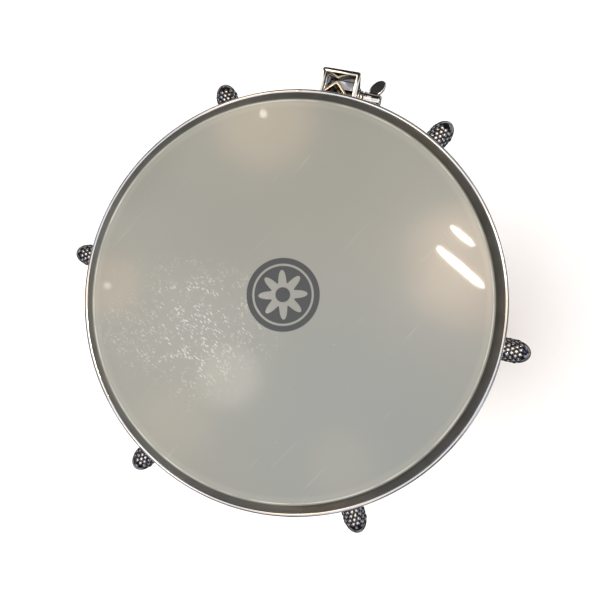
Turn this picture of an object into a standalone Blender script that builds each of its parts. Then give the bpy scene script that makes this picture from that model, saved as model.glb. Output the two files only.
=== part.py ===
"""A darbuka (goblet drum).

The shell is two spun pieces joined at the neck. A film head lies over the bowl's rounded edge,
and a counter hoop pulls the head's flesh hoop down the outside of the bowl. Six bolts draw the
counter hoop down: each stands in a bullet-shaped lug and is turned from below. A clamp with a
square-eyed bolt and a wing nut, about midway between two lugs, takes the upright rod of a stand.

Metres, +Z up. The origin is on the drum's axis, on the floor that the foot stands on.
"""

import math

import bmesh
import bpy
from mathutils import Matrix, Vector

# ------------------------------------------------------------------ driving dimensions, in metres
HEAD_TOP = 0.4700  # playing surface above the floor
COLLAR_RADIUS = 0.1170  # outside of the bowl's straight collar
SHOULDER_HEIGHT = 0.4050  # where the bowl starts to curve in
NECK_RADIUS = 0.0500  # outside of the neck
FOOT_RADIUS = 0.1265  # outside of the foot's turned-down rim
WALL = 0.0016  # shell metal
GAP = 0.0003  # air between pieces that touch
SPIGOT_LOW, SOCKET_HIGH = 0.2220, 0.2380  # the bowl's tube stands inside the foot's socket
SOCKET_RADIUS = NECK_RADIUS + WALL + 0.0005
RUBBER_OUTER, RUBBER_INNER, RUBBER_HIGH = 0.1300, 0.1219, 0.0090  # edging on the foot's rim

# Film head, flesh hoop and counter hoop
FILM = 0.0003
EDGE_ROUND = 0.0018  # radius of the bearing edge
EDGE_TOP = HEAD_TOP - FILM - GAP  # crest of the bearing edge
FLESH_INNER, FLESH_OUTER = 0.1179, 0.1206
FLESH_LOW, FLESH_HIGH = 0.4505, 0.4565
HOOP_LIP_RADIUS, HOOP_LIP_TOP = 0.1195, 0.4586  # inner rim of the sloping face
BEAD_CENTRE, BEAD_RADIUS = (0.1246, 0.4631), 0.0014
SKIRT_INNER, SKIRT_OUTER = 0.1209, 0.1222
SKIRT_LOW, SKIRT_TOP = 0.4488, 0.4612
EAR_WIDTH, EAR_OUTER = 0.0120, 0.1283
EAR_LOW, EAR_HIGH = 0.4465, 0.4560

# Lugs and tuning bolts
LUG_COUNT = 6
LUG_HALF_WIDTH = 0.00675
LUG_AXIS_HEIGHT = 0.4450
LUG_BACK = 0.1174
NOSE_START, NOSE_TIP = 0.1390, 0.1475
LUG_PLATE_FRONT, LUG_PLATE_LOW = 0.1204, 0.4190
LUG_SEAT = 0.4388  # flat face that the bolt's washer bears on
BOLT_CIRCLE = 0.1249
BOLT_RADIUS, BOLT_HOLE = 0.0024, 0.0027
BOLT_TOP, BOLT_HEAD_LOW = 0.4515, 0.4323
BOLT_HEAD_RADIUS, BOLT_HEAD_HEIGHT = 0.0041, 0.0050
BOLT_WASHER_RADIUS = 0.0050
SOCKET_HALF_SIZE, SOCKET_DEPTH = 0.0023, 0.0028  # the six-sided hole in a bolt's head
EAR_HOLE_TOP = 0.4549  # end of the blind hole in each ear
LUG_ANGLES = [360.0 * i / LUG_COUNT for i in range(LUG_COUNT)]

# Screws put in from inside the bowl, measured outward from the axis
LUG_SCREW_HEIGHT = 0.4245
LUG_SCREW_RADIUS, LUG_SCREW_HOLE, LUG_SCREW_END = 0.0020, 0.0023, 0.1211
BRACKET_SCREW_HEIGHTS = {"upper": 0.4380, "lower": 0.4180}
BRACKET_SCREW_RADIUS, BRACKET_SCREW_HOLE, BRACKET_SCREW_END = 0.0024, 0.0027, 0.1212
SCREW_HEAD_START, SCREW_HEAD_END = 0.1114, 0.1136
SCREW_WASHER_START, SCREW_WASHER_END = 0.1139, 0.1149

# Rod clamp, measured outward from the axis (x) and to its left (y)
BRACKET_ANGLE = 29.4  # degrees from +X
PLATE = 0.0024  # folded plate
BRACKET_BACK, BRACKET_OUTER = 0.1180, 0.1444
BRACKET_LEFT, BRACKET_RIGHT = 0.01115, 0.01265
BRACKET_TOP, BRACKET_LOW, FLANGE_LOW = 0.4560, 0.4280, 0.4120
UNDER_HOOP = 0.4453  # nothing under the hoop's skirt stands higher
ROD_X, ROD_Y, CLAMP_HEIGHT = 0.1333, 0.0020, 0.4460
ROD_RADIUS = 0.0038
ROD_PLAY = 0.0006  # room for the rod to leave its groove when the bolt is slack
EYE_OUTER, EYE_INNER, EYE_DEPTH = 0.0083, 0.0056, 0.0060
EYE_ROOM = 0.0005  # air between the eye and the block under and beside it
WINDOW_HALF_HEIGHT = 0.0037  # of the opening that the eye comes out through
SHAFT_RADIUS, SHAFT_HOLE = 0.0029, 0.0033
SHAFT_END = 0.0282  # from the rod to the end of the eyebolt
BLOCK_BACK = 0.1262
BLOCK_LOW, BLOCK_HIGH = 0.4300, 0.4480
WASHER_END, WASHER_RADIUS = 0.0141, 0.0060  # ends are to the right of the clamp's middle
SPRING_START, SPRING_END, SPRING_RADIUS = 0.0144, 0.0161, 0.0050
NUT_START, NUT_LENGTH, NUT_RADIUS = 0.0164, 0.0114, 0.0048
WING_LEAN = math.radians(38.0)
WING_MIDDLE, WING_HALF_SIZES = (0.0083, 0.0074), (0.0060, 0.0037)
WING_HALF_THICKNESS = 0.0012

# Fineness of round shapes
TURN_STEPS = 48
FOOT_STEPS = 36
SMALL_STEPS = 12
SHARP_ANGLE = math.radians(35.0)


# ------------------------------------------------------------------ collections and materials
def clear_scene():
    for obj in list(bpy.data.objects):
        bpy.data.objects.remove(obj, do_unlink=True)


def new_collection(name):
    collection = bpy.data.collections.new(name)
    bpy.context.scene.collection.children.link(collection)
    return collection


def new_material(name, colour, roughness, metallic):
    material = bpy.data.materials.new(name)
    material.use_nodes = True
    shader = material.node_tree.nodes["Principled BSDF"]
    shader.inputs["Base Color"].default_value = (*colour, 1.0)
    shader.inputs["Roughness"].default_value = roughness
    shader.inputs["Metallic"].default_value = metallic
    material.diffuse_color = (*colour, 1.0)
    return material


clear_scene()
PARTS = new_collection("darbuka")
CUTTERS = new_collection("cutters")

HAMMERED = new_material("hammered_chrome", (0.62, 0.62, 0.61), 0.22, 1.0)
CHROME = new_material("polished_chrome", (0.70, 0.70, 0.70), 0.06, 1.0)
DULL_METAL = new_material("dull_aluminium", (0.45, 0.45, 0.44), 0.45, 1.0)
STEEL = new_material("zinc_steel", (0.52, 0.52, 0.50), 0.35, 1.0)
FILM_PLASTIC = new_material("head_film", (0.38, 0.37, 0.33), 0.28, 0.0)
RUBBER = new_material("black_rubber", (0.02, 0.02, 0.02), 0.80, 0.0)


# ------------------------------------------------------------------ shape helpers
def arc(centre, radius, start, end, steps):
    """Points on an arc, from one angle to another in degrees."""
    angles = [math.radians(start + (end - start) * i / steps) for i in range(steps + 1)]
    return [(centre[0] + radius * math.cos(a), centre[1] + radius * math.sin(a)) for a in angles]


def bezier(start, start_handle, end_handle, end, steps):
    """Points on a cubic curve, without its first point."""
    points = []
    for i in range(1, steps + 1):
        t = i / steps
        weights = ((1 - t) ** 3, 3 * t * (1 - t) ** 2, 3 * t * t * (1 - t), t**3)
        corners = (start, start_handle, end_handle, end)
        points.append(tuple(sum(w * c[k] for w, c in zip(weights, corners)) for k in (0, 1)))
    return points


def new_object(name, mesh):
    obj = bpy.data.objects.new(name, mesh)
    PARTS.objects.link(obj)
    return obj


def freeze(obj):
    """Makes the result of the object's modifiers its mesh, smooth but for its corners."""
    graph = bpy.context.evaluated_depsgraph_get()
    mesh = bpy.data.meshes.new_from_object(obj.evaluated_get(graph))
    obj.modifiers.clear()
    obj.data = mesh
    mesh.shade_smooth()
    mesh.set_sharp_from_angle(angle=SHARP_ANGLE)


def paint(obj, material):
    obj.data.materials.clear()
    obj.data.materials.append(material)


def turned(name, outline, closed=True, steps=TURN_STEPS):
    """Spins an outline of (radius, height) points about the Z axis."""
    mesh = bpy.data.meshes.new(name)
    edges = [(i, i + 1) for i in range(len(outline) - 1)]
    if closed:
        edges.append((len(outline) - 1, 0))
    mesh.from_pydata([(radius, 0.0, height) for radius, height in outline], edges, [])
    obj = new_object(name, mesh)
    spin = obj.modifiers.new("Spin", "SCREW")
    spin.axis = "Z"
    spin.steps = steps
    spin.render_steps = steps
    spin.use_merge_vertices = True
    spin.merge_threshold = 0.00001
    return obj


def thicken(obj, thickness):
    """Gives an open surface its thickness, on its inner side."""
    solid = obj.modifiers.new("Wall", "SOLIDIFY")
    solid.thickness = thickness
    solid.offset = -1.0
    solid.use_even_offset = True


def cylinder(name, radius, start, end, steps=SMALL_STEPS, end_radius=None):
    """A round bar or cone between two points."""
    start, end = Vector(start), Vector(end)
    length = (end - start).length
    mesh = bpy.data.meshes.new(name)
    shape = bmesh.new()
    bmesh.ops.create_cone(
        shape,
        cap_ends=True,
        segments=steps,
        radius1=radius,
        radius2=radius if end_radius is None else end_radius,
        depth=length,
    )
    turn = (end - start).to_track_quat("Z", "Y").to_matrix().to_4x4()
    shape.transform(Matrix.Translation((start + end) / 2) @ turn)
    shape.to_mesh(mesh)
    shape.free()
    return new_object(name, mesh)


def block(name, low, high):
    """A box between its lowest and highest corners."""
    low, high = Vector(low), Vector(high)
    mesh = bpy.data.meshes.new(name)
    shape = bmesh.new()
    bmesh.ops.create_cube(shape, size=1.0)
    shape.transform(Matrix.Translation((low + high) / 2) @ Matrix.Diagonal((*(high - low), 1.0)))
    shape.to_mesh(mesh)
    shape.free()
    return new_object(name, mesh)


def slab(name, outline, low, high):
    """A flat outline of (x, y) points, filled and extruded from one height to another."""
    curve = bpy.data.curves.new(name, "CURVE")
    curve.dimensions = "2D"
    curve.fill_mode = "BOTH"
    curve.extrude = (high - low) / 2
    spline = curve.splines.new("POLY")
    spline.points.add(len(outline) - 1)
    for point, (x, y) in zip(spline.points, outline):
        point.co = (x, y, 0.0, 1.0)
    spline.use_cyclic_u = True
    guide = new_object(name, curve)
    guide.location.z = (low + high) / 2
    bpy.context.view_layer.update()
    graph = bpy.context.evaluated_depsgraph_get()
    mesh = bpy.data.meshes.new_from_object(guide.evaluated_get(graph))
    weld = bmesh.new()
    weld.from_mesh(mesh)
    bmesh.ops.remove_doubles(weld, verts=weld.verts, dist=0.00001)
    weld.transform(guide.matrix_world)
    weld.to_mesh(mesh)
    weld.free()
    bpy.data.objects.remove(guide, do_unlink=True)
    bpy.data.curves.remove(curve)
    return new_object(name, mesh)


def soften(obj, width, segments=1):
    """Rounds the object's corners."""
    bevel = obj.modifiers.new("Rounding", "BEVEL")
    bevel.width = width
    bevel.segments = segments
    bevel.limit_method = "ANGLE"
    bevel.angle_limit = SHARP_ANGLE


def combine(obj, operation, tool):
    """Cuts the tool out of the object, or joins it on."""
    for collection in list(tool.users_collection):
        collection.objects.unlink(tool)
    CUTTERS.objects.link(tool)
    tool.hide_render = True
    tool.display_type = "WIRE"
    boolean = obj.modifiers.new(tool.name, "BOOLEAN")
    boolean.operation = operation
    boolean.solver = "EXACT"
    boolean.object = tool


def cut(obj, tool):
    combine(obj, "DIFFERENCE", tool)


def join(obj, tool):
    combine(obj, "UNION", tool)


def around_axis(obj, degrees):
    """Moves a piece made at +X round the drum's axis."""
    angle = math.radians(degrees)
    obj.rotation_euler.z = angle
    obj.location = Matrix.Rotation(angle, 3, "Z") @ obj.location


def copies(master, names, angles):
    """Separate objects that share the master's mesh, set round the drum's axis."""
    made = []
    for name, degrees in zip(names, angles):
        obj = new_object(name, master.data)
        obj.location = master.location
        around_axis(obj, degrees)
        made.append(obj)
    bpy.data.objects.remove(master, do_unlink=True)
    return made


def washer(name, centre_start, centre_end, inner, outer):
    """A flat ring between two points on its axis."""
    ring = cylinder(name, outer, centre_start, centre_end)
    along = (Vector(centre_end) - Vector(centre_start)).normalized() * 0.001
    hole_start = Vector(centre_start) - along
    hole_end = Vector(centre_end) + along
    cut(ring, cylinder(name + "_hole", inner, hole_start, hole_end))
    freeze(ring)
    paint(ring, STEEL)
    return ring


def names_of(piece):
    return [f"{piece}_{i + 1}" for i in range(LUG_COUNT)]


# ------------------------------------------------------------------ shell
def inside_screw_hole(name, height, degrees, radius):
    """A cutter for a hole through the bowl's collar, for a screw put in from inside."""
    reach = 3 * WALL
    start, end = (COLLAR_RADIUS - reach, 0, height), (COLLAR_RADIUS + reach, 0, height)
    tool = cylinder(name, radius, start, end)
    around_axis(tool, degrees)
    return tool


def make_shell_bowl():
    outline = arc((COLLAR_RADIUS - EDGE_ROUND, EDGE_TOP - EDGE_ROUND), EDGE_ROUND, 90, 0, 3)
    shoulder = (COLLAR_RADIUS, SHOULDER_HEIGHT)
    outline.append(shoulder)
    outline += bezier(shoulder, (COLLAR_RADIUS, 0.345), (NECK_RADIUS, 0.318), (NECK_RADIUS, 0.240), 8)
    outline.append((NECK_RADIUS, SPIGOT_LOW))
    bowl = turned("shell_bowl", outline, closed=False)
    thicken(bowl, WALL)
    for number, degrees in enumerate(LUG_ANGLES, 1):
        name = f"lug_screw_hole_{number}"
        cut(bowl, inside_screw_hole(name, LUG_SCREW_HEIGHT, degrees, LUG_SCREW_HOLE))
    for place, height in BRACKET_SCREW_HEIGHTS.items():
        name = f"bracket_screw_hole_{place}"
        cut(bowl, inside_screw_hole(name, height, BRACKET_ANGLE, BRACKET_SCREW_HOLE))
    freeze(bowl)
    paint(bowl, HAMMERED)


def make_shell_foot():
    top_of_horn = (NECK_RADIUS, 0.211)
    outline = [(SOCKET_RADIUS, SOCKET_HIGH), (SOCKET_RADIUS, 0.219), top_of_horn]
    outline += bezier(top_of_horn, (0.047, 0.160), (0.060, 0.062), (0.1235, 0.0125), 8)
    outline += [(FOOT_RADIUS - 0.0007, 0.0100), (FOOT_RADIUS, 0.0070), (FOOT_RADIUS, 0.0028)]
    foot = turned("shell_foot", outline, closed=False, steps=FOOT_STEPS)
    thicken(foot, WALL)
    freeze(foot)
    paint(foot, HAMMERED)


def make_neck_ring():
    inner = SOCKET_RADIUS + GAP + 0.0002
    middle = (SPIGOT_LOW + SOCKET_HIGH) / 2
    half_height, bulge, flat = 0.0075, 0.0035, 0.0010
    outline = [(inner, middle + half_height)]
    for x, y in arc((0.0, 0.0), 1.0, 90, -90, 5):
        outline.append((inner + flat + bulge * x, middle + half_height * y))
    outline.append((inner, middle - half_height))
    ring = turned("neck_ring", outline, steps=FOOT_STEPS)
    freeze(ring)
    paint(ring, CHROME)


def make_foot_ring():
    """Rubber edging with a groove that the foot's metal rim stands in."""
    groove_outer = FOOT_RADIUS + 0.0004
    groove_inner = FOOT_RADIUS - WALL - 0.0004
    groove_low, inner_high, chamfer = 0.0024, 0.0065, 0.0010
    outline = [
        (groove_outer, RUBBER_HIGH),
        (RUBBER_OUTER - chamfer, RUBBER_HIGH),
        (RUBBER_OUTER, RUBBER_HIGH - chamfer),
        (RUBBER_OUTER, chamfer),
        (RUBBER_OUTER - chamfer, 0.0),
        (RUBBER_INNER + chamfer, 0.0),
        (RUBBER_INNER, chamfer),
        (RUBBER_INNER, inner_high),
        (groove_inner, inner_high),
        (groove_inner, groove_low),
        (groove_outer, groove_low),
    ]
    ring = turned("foot_ring", outline, steps=FOOT_STEPS)
    freeze(ring)
    paint(ring, RUBBER)


# ------------------------------------------------------------------ head and hoops
def make_head_film():
    """A flat film that turns down over the bearing edge into a short collar."""
    bend = EDGE_ROUND + FILM + GAP
    collar = COLLAR_RADIUS - EDGE_ROUND + bend
    outline = [(0.0, HEAD_TOP)]
    outline += arc((COLLAR_RADIUS - EDGE_ROUND, HEAD_TOP - bend), bend, 90, 0, 3)
    outline.append((collar, FLESH_LOW - 0.0010))
    film = turned("head_film", outline, closed=False)
    thicken(film, FILM)
    freeze(film)
    paint(film, FILM_PLASTIC)


def make_flesh_hoop():
    chamfer = 0.0006
    outline = [
        (FLESH_INNER, FLESH_HIGH),
        (FLESH_OUTER - chamfer, FLESH_HIGH),
        (FLESH_OUTER, FLESH_HIGH - chamfer),
        (FLESH_OUTER, FLESH_LOW + chamfer),
        (FLESH_OUTER - chamfer, FLESH_LOW),
        (FLESH_INNER, FLESH_LOW),
    ]
    hoop = turned("flesh_hoop", outline)
    freeze(hoop)
    paint(hoop, DULL_METAL)
    return hoop


def make_counter_hoop():
    """A skirt round the flesh hoop, a lip that presses on it, a sloping face and a rolled bead,
    with an ear for each tuning bolt."""
    ledge = FLESH_HIGH + GAP
    outline = arc(BEAD_CENTRE, BEAD_RADIUS, 125, -115, 5)
    outline += [(SKIRT_OUTER, SKIRT_TOP), (SKIRT_OUTER, SKIRT_LOW), (SKIRT_INNER, SKIRT_LOW)]
    outline += [(SKIRT_INNER, ledge), (HOOP_LIP_RADIUS, ledge), (HOOP_LIP_RADIUS, HOOP_LIP_TOP)]
    hoop = turned("counter_hoop", outline)
    for number, degrees in enumerate(LUG_ANGLES, 1):
        ear_low = (SKIRT_OUTER - 0.0007, -EAR_WIDTH / 2, EAR_LOW)
        ear = block(f"ear_{number}", ear_low, (EAR_OUTER, EAR_WIDTH / 2, EAR_HIGH))
        soften(ear, 0.0016)
        around_axis(ear, degrees)
        join(hoop, ear)
        hole_start, hole_end = (BOLT_CIRCLE, 0, EAR_LOW - 0.002), (BOLT_CIRCLE, 0, EAR_HOLE_TOP)
        hole = cylinder(f"ear_hole_{number}", BOLT_HOLE, hole_start, hole_end)
        around_axis(hole, degrees)
        cut(hoop, hole)
    freeze(hoop)
    paint(hoop, CHROME)
    return hoop


# ------------------------------------------------------------------ lugs
def nose_outline():
    """The bullet's (radius, distance from the drum's axis) points, from its tip to its root."""
    length = NOSE_TIP - NOSE_START
    points = []
    for x, y in arc((0.0, 0.0), 1.0, 90, 0, 4):
        points.append((LUG_HALF_WIDTH * x, NOSE_START + length * y))
    points[0] = (0.0, NOSE_TIP)
    return points + [(LUG_HALF_WIDTH, LUG_BACK + 0.001), (0.0, LUG_BACK + 0.001)]


def make_lugs():
    lug = turned("lug_master", nose_outline(), closed=False, steps=16)
    lug.rotation_euler.y = math.radians(90.0)
    lug.location.z = LUG_AXIS_HEIGHT
    bpy.context.view_layer.update()
    freeze(lug)
    lug.data.transform(lug.matrix_world)
    lug.rotation_euler.y = 0.0
    lug.location.z = 0.0
    plate_low = (LUG_BACK, -LUG_HALF_WIDTH, LUG_PLATE_LOW)
    plate = block("lug_plate", plate_low, (LUG_PLATE_FRONT, LUG_HALF_WIDTH, LUG_AXIS_HEIGHT - 0.001))
    soften(plate, 0.0010)
    join(lug, plate)
    boss_start = (LUG_BACK + 0.0005, 0, LUG_SCREW_HEIGHT)
    join(lug, cylinder("lug_boss", 0.0048, boss_start, (0.1222, 0, LUG_SCREW_HEIGHT), end_radius=0.0040))
    wide = 0.012
    cut(lug, block("under_skirt", (0.110, -wide, UNDER_HOOP), (SKIRT_OUTER + 0.0014, wide, 0.470)))
    cut(lug, block("under_ear", (0.110, -wide, EAR_LOW - 0.0036), (EAR_OUTER + 0.0008, wide, 0.470)))
    seat_back = BOLT_CIRCLE - BOLT_WASHER_RADIUS - GAP
    cut(lug, block("washer_seat", (seat_back, -wide, 0.4300), (0.1299, wide, LUG_SEAT)))
    cut(lug, cylinder("lug_bolt_hole", BOLT_HOLE, (BOLT_CIRCLE, 0, 0.430), (BOLT_CIRCLE, 0, 0.455)))
    thread_start = (LUG_BACK - 0.004, 0, LUG_SCREW_HEIGHT)
    thread_end = (LUG_SCREW_END + GAP, 0, LUG_SCREW_HEIGHT)
    cut(lug, cylinder("lug_screw_thread", LUG_SCREW_HOLE, thread_start, thread_end))
    freeze(lug)
    paint(lug, CHROME)
    copies(lug, names_of("lug"), LUG_ANGLES)


def socket_bolt(name):
    """A socket-head bolt standing head down, with its origin on its axis under the head."""
    bolt = cylinder(name, BOLT_HEAD_RADIUS, (0, 0, 0), (0, 0, BOLT_HEAD_HEIGHT))
    soften(bolt, 0.0005)
    shank_start = (0, 0, BOLT_HEAD_HEIGHT - 0.001)
    join(bolt, cylinder("bolt_shank", BOLT_RADIUS, shank_start, (0, 0, BOLT_TOP - BOLT_HEAD_LOW)))
    cut(bolt, cylinder("bolt_socket", SOCKET_HALF_SIZE, (0, 0, -0.001), (0, 0, SOCKET_DEPTH), steps=6))
    freeze(bolt)
    paint(bolt, STEEL)
    bolt.location = (BOLT_CIRCLE, 0, BOLT_HEAD_LOW)
    return bolt


def make_tuning_bolts():
    copies(socket_bolt("bolt_master"), names_of("tuning_bolt"), LUG_ANGLES)
    top = LUG_SEAT - GAP
    low = BOLT_HEAD_LOW + BOLT_HEAD_HEIGHT + GAP
    start, end = (BOLT_CIRCLE, 0, low), (BOLT_CIRCLE, 0, top)
    ring = washer("washer_master", start, end, BOLT_HOLE, BOLT_WASHER_RADIUS)
    copies(ring, names_of("bolt_washer"), LUG_ANGLES)


def inside_screw(name, height, radius, end):
    """A pan-head screw put in from inside the bowl, pointing outward along X."""
    head_start, head_end = (SCREW_HEAD_START, 0, height), (SCREW_HEAD_END, 0, height)
    screw = cylinder(name, radius * 1.3, head_start, head_end, end_radius=radius * 1.85)
    shank_start = (SCREW_HEAD_END - 0.001, 0, height)
    join(screw, cylinder(name + "_shank", radius, shank_start, (end, 0, height)))
    freeze(screw)
    paint(screw, STEEL)
    return screw


def inside_washer(name, height, radius):
    start, end = (SCREW_WASHER_START, 0, height), (SCREW_WASHER_END, 0, height)
    return washer(name, start, end, radius + GAP, radius * 2.3)


def make_lug_screws():
    screw = inside_screw("lug_screw_master", LUG_SCREW_HEIGHT, LUG_SCREW_RADIUS, LUG_SCREW_END)
    copies(screw, names_of("lug_screw"), LUG_ANGLES)
    ring = inside_washer("lug_washer_master", LUG_SCREW_HEIGHT, LUG_SCREW_RADIUS)
    copies(ring, names_of("lug_washer"), LUG_ANGLES)


# ------------------------------------------------------------------ rod clamp
def place_on_clamp(obj):
    """Moves a piece of the clamp from +X to the clamp's own angle."""
    around_axis(obj, BRACKET_ANGLE)


def bracket_screw_holes(obj):
    """Cuts the two screws' holes through the clamp's plate or its pad."""
    for place, height in BRACKET_SCREW_HEIGHTS.items():
        start = (BRACKET_BACK - 0.007, 0, height)
        end = (BRACKET_BACK + 0.007, 0, height)
        cut(obj, cylinder(f"{obj.name}_hole_{place}", BRACKET_SCREW_HOLE, start, end))


def make_bracket_body():
    """A plate folded to a box round the block, with a flange below on the shell side. A window
    in its left side lets the bolt's eye through."""
    left, right, outer, back = BRACKET_LEFT, BRACKET_RIGHT, BRACKET_OUTER, BRACKET_BACK
    bend = 0.0020
    outline = [(back, left), (back, -right)]
    outline += arc((outer - bend, bend - right), bend, -90, 0, 4)
    outline += arc((outer - bend, left - bend), bend, 0, 90, 4)
    body = slab("bracket_body", outline, FLANGE_LOW, BRACKET_TOP)
    inside_low = (back + PLATE, PLATE - right, 0.400)
    cut(body, block("inside", inside_low, (outer - PLATE, left - PLATE, 0.470)))
    window_low = (back + PLATE, left - PLATE - 0.002, CLAMP_HEIGHT - WINDOW_HALF_HEIGHT)
    window_high = (outer - PLATE, left + 0.002, CLAMP_HEIGHT + WINDOW_HALF_HEIGHT)
    cut(body, block("window", window_low, window_high))
    wide = 0.020
    cut(body, block("below_box", (back + PLATE, -wide, 0.400), (0.160, wide, BRACKET_LOW)))
    cut(body, block("under_hoop", (0.110, -wide, UNDER_HOOP), (BLOCK_BACK - 0.0004, wide, 0.470)))
    shaft_hole_start = (ROD_X, -right - 0.002, CLAMP_HEIGHT)
    cut(body, cylinder("plate_shaft_hole", SHAFT_HOLE, shaft_hole_start, (ROD_X, -0.005, CLAMP_HEIGHT)))
    bracket_screw_holes(body)
    freeze(body)
    paint(body, CHROME)
    place_on_clamp(body)


def make_bracket_pad():
    low = (COLLAR_RADIUS + GAP, -0.0100, FLANGE_LOW + 0.0005)
    pad = block("bracket_pad", low, (BRACKET_BACK - GAP, 0.0100, UNDER_HOOP - 0.0005))
    bracket_screw_holes(pad)
    freeze(pad)
    paint(pad, RUBBER)
    place_on_clamp(pad)


def make_bracket_screws():
    radius, end = BRACKET_SCREW_RADIUS, BRACKET_SCREW_END
    for place, height in BRACKET_SCREW_HEIGHTS.items():
        place_on_clamp(inside_screw(f"bracket_screw_{place}", height, radius, end))
        place_on_clamp(inside_washer(f"bracket_washer_{place}", height, radius))


def make_clamp_block():
    """A block with an upright square hole, set cornerwise, that the rod stands in. The bolt's
    eye lies over its lower left part, and its shaft in a channel through the raised right part."""
    low = (BLOCK_BACK, PLATE + GAP - BRACKET_RIGHT, BLOCK_LOW)
    high = (BRACKET_OUTER - PLATE - GAP, BRACKET_LEFT - PLATE - GAP, BLOCK_HIGH)
    body = block("clamp_block", low, high)
    eye_floor = CLAMP_HEIGHT - EYE_DEPTH / 2 - EYE_ROOM
    above = BLOCK_HIGH + 0.005
    cut(body, block("left_step", (0.120, ROD_Y, eye_floor), (0.150, 0.020, above)))
    eye_start, eye_end = (ROD_X, ROD_Y, eye_floor), (ROD_X, ROD_Y, above)
    cut(body, cylinder("eye_pocket", EYE_OUTER + EYE_ROOM, eye_start, eye_end, steps=4))
    channel_low = (ROD_X - SHAFT_HOLE, -0.015, CLAMP_HEIGHT - SHAFT_HOLE)
    cut(body, block("shaft_channel", channel_low, (ROD_X + SHAFT_HOLE, ROD_Y, above)))
    hole_y = ROD_Y + ROD_PLAY
    hole_start, hole_end = (ROD_X, hole_y, BLOCK_LOW - 0.002), (ROD_X, hole_y, above)
    hole_radius = ROD_RADIUS * math.sqrt(2.0) + ROD_PLAY
    cut(body, cylinder("rod_hole", hole_radius, hole_start, hole_end, steps=4))
    freeze(body)
    paint(body, CHROME)
    place_on_clamp(body)


def make_clamp_eyebolt():
    """A bolt with a square eye set cornerwise, its origin in the middle of the eye."""
    half = EYE_DEPTH / 2
    eye = cylinder("clamp_eyebolt", EYE_OUTER, (0, 0, -half), (0, 0, half), steps=4)
    soften(eye, 0.0006)
    shaft_start = (0, -EYE_INNER - 0.0012, 0)
    join(eye, cylinder("eyebolt_shaft", SHAFT_RADIUS, shaft_start, (0, -SHAFT_END, 0)))
    cut(eye, cylinder("eye_hole", EYE_INNER, (0, 0, -half - 0.002), (0, 0, half + 0.002), steps=4))
    freeze(eye)
    paint(eye, CHROME)
    eye.location = (ROD_X, ROD_Y, CLAMP_HEIGHT)
    place_on_clamp(eye)


def clamp_ring(name, start, end, outer):
    """A washer on the eyebolt, from one distance to another to the right of the clamp's middle."""
    low, high = (ROD_X, -start, CLAMP_HEIGHT), (ROD_X, -end, CLAMP_HEIGHT)
    place_on_clamp(washer(name, low, high, SHAFT_HOLE, outer))


def wing_outline(side):
    """An oval wing beside the nut, leaning away from the plate, in (outward, along) points."""
    points = []
    for x, y in arc((0.0, 0.0), 1.0, 0, 330, 11):
        long, short = WING_HALF_SIZES[0] * x, WING_HALF_SIZES[1] * y
        out = WING_MIDDLE[0] + long * math.cos(WING_LEAN) - short * math.sin(WING_LEAN)
        along = WING_MIDDLE[1] + long * math.sin(WING_LEAN) + short * math.cos(WING_LEAN)
        points.append((side * out, along))
    return points


def make_wing_nut():
    """A hub with a blind hole and two wings, its origin on its axis at its washer end."""
    end_radius, dome = 0.875 * NUT_RADIUS, 0.0012
    nut = cylinder("clamp_wing_nut", NUT_RADIUS, (0, 0, 0), (0, 0, NUT_LENGTH), end_radius=end_radius)
    soften(nut, dome, 2)
    for side, word in ((1, "outer"), (-1, "inner")):
        wing = slab(f"wing_{word}", wing_outline(side), -WING_HALF_THICKNESS, WING_HALF_THICKNESS)
        wing.rotation_euler.x = math.radians(90.0)
        soften(wing, 0.0004)
        join(nut, wing)
    cut(nut, cylinder("nut_thread", SHAFT_HOLE, (0, 0, -0.001), (0, 0, NUT_LENGTH - 0.0008)))
    freeze(nut)
    paint(nut, CHROME)
    return nut


def place_wing_nut(nut):
    """Lays the nut's own Z axis along the eyebolt and turns it to the clamp."""
    lie_down = Matrix.Rotation(math.radians(90.0), 4, "X")
    to_shaft = Matrix.Translation((ROD_X, -NUT_START, CLAMP_HEIGHT))
    to_clamp = Matrix.Rotation(math.radians(BRACKET_ANGLE), 4, "Z")
    nut.matrix_world = to_clamp @ to_shaft @ lie_down


# ------------------------------------------------------------------ the whole drum
def group_under(name, location, objects):
    """An empty that holds the pieces of one moving group."""
    frame = new_object(name, None)
    frame.location = location
    frame.empty_display_size = 0.02
    bpy.context.view_layer.update()
    for obj in objects:
        obj.parent = frame
        obj.matrix_parent_inverse = frame.matrix_world.inverted()


def main():
    make_shell_bowl()
    make_shell_foot()
    make_neck_ring()
    make_foot_ring()
    make_head_film()
    hoops = [make_flesh_hoop(), make_counter_hoop()]
    make_lugs()
    make_lug_screws()
    make_tuning_bolts()
    make_bracket_body()
    make_bracket_pad()
    make_bracket_screws()
    make_clamp_block()
    make_clamp_eyebolt()
    clamp_ring("clamp_washer", BRACKET_RIGHT + GAP, WASHER_END, WASHER_RADIUS)
    clamp_ring("clamp_spring_washer", SPRING_START, SPRING_END, SPRING_RADIUS)
    place_wing_nut(make_wing_nut())
    group_under("tuning_frame", (0, 0, FLESH_HIGH), hoops)


main()
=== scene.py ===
"""Looks for the darbuka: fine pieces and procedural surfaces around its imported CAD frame.

Metres, +Z up, in the frame's own axes. The drum stands on Z = 0 with its axis on Z.
"""

from math import cos, exp, pi, radians, sin, sqrt

import bmesh
import bpy
import numpy as np
from mathutils import Matrix, Vector, kdtree


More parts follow.
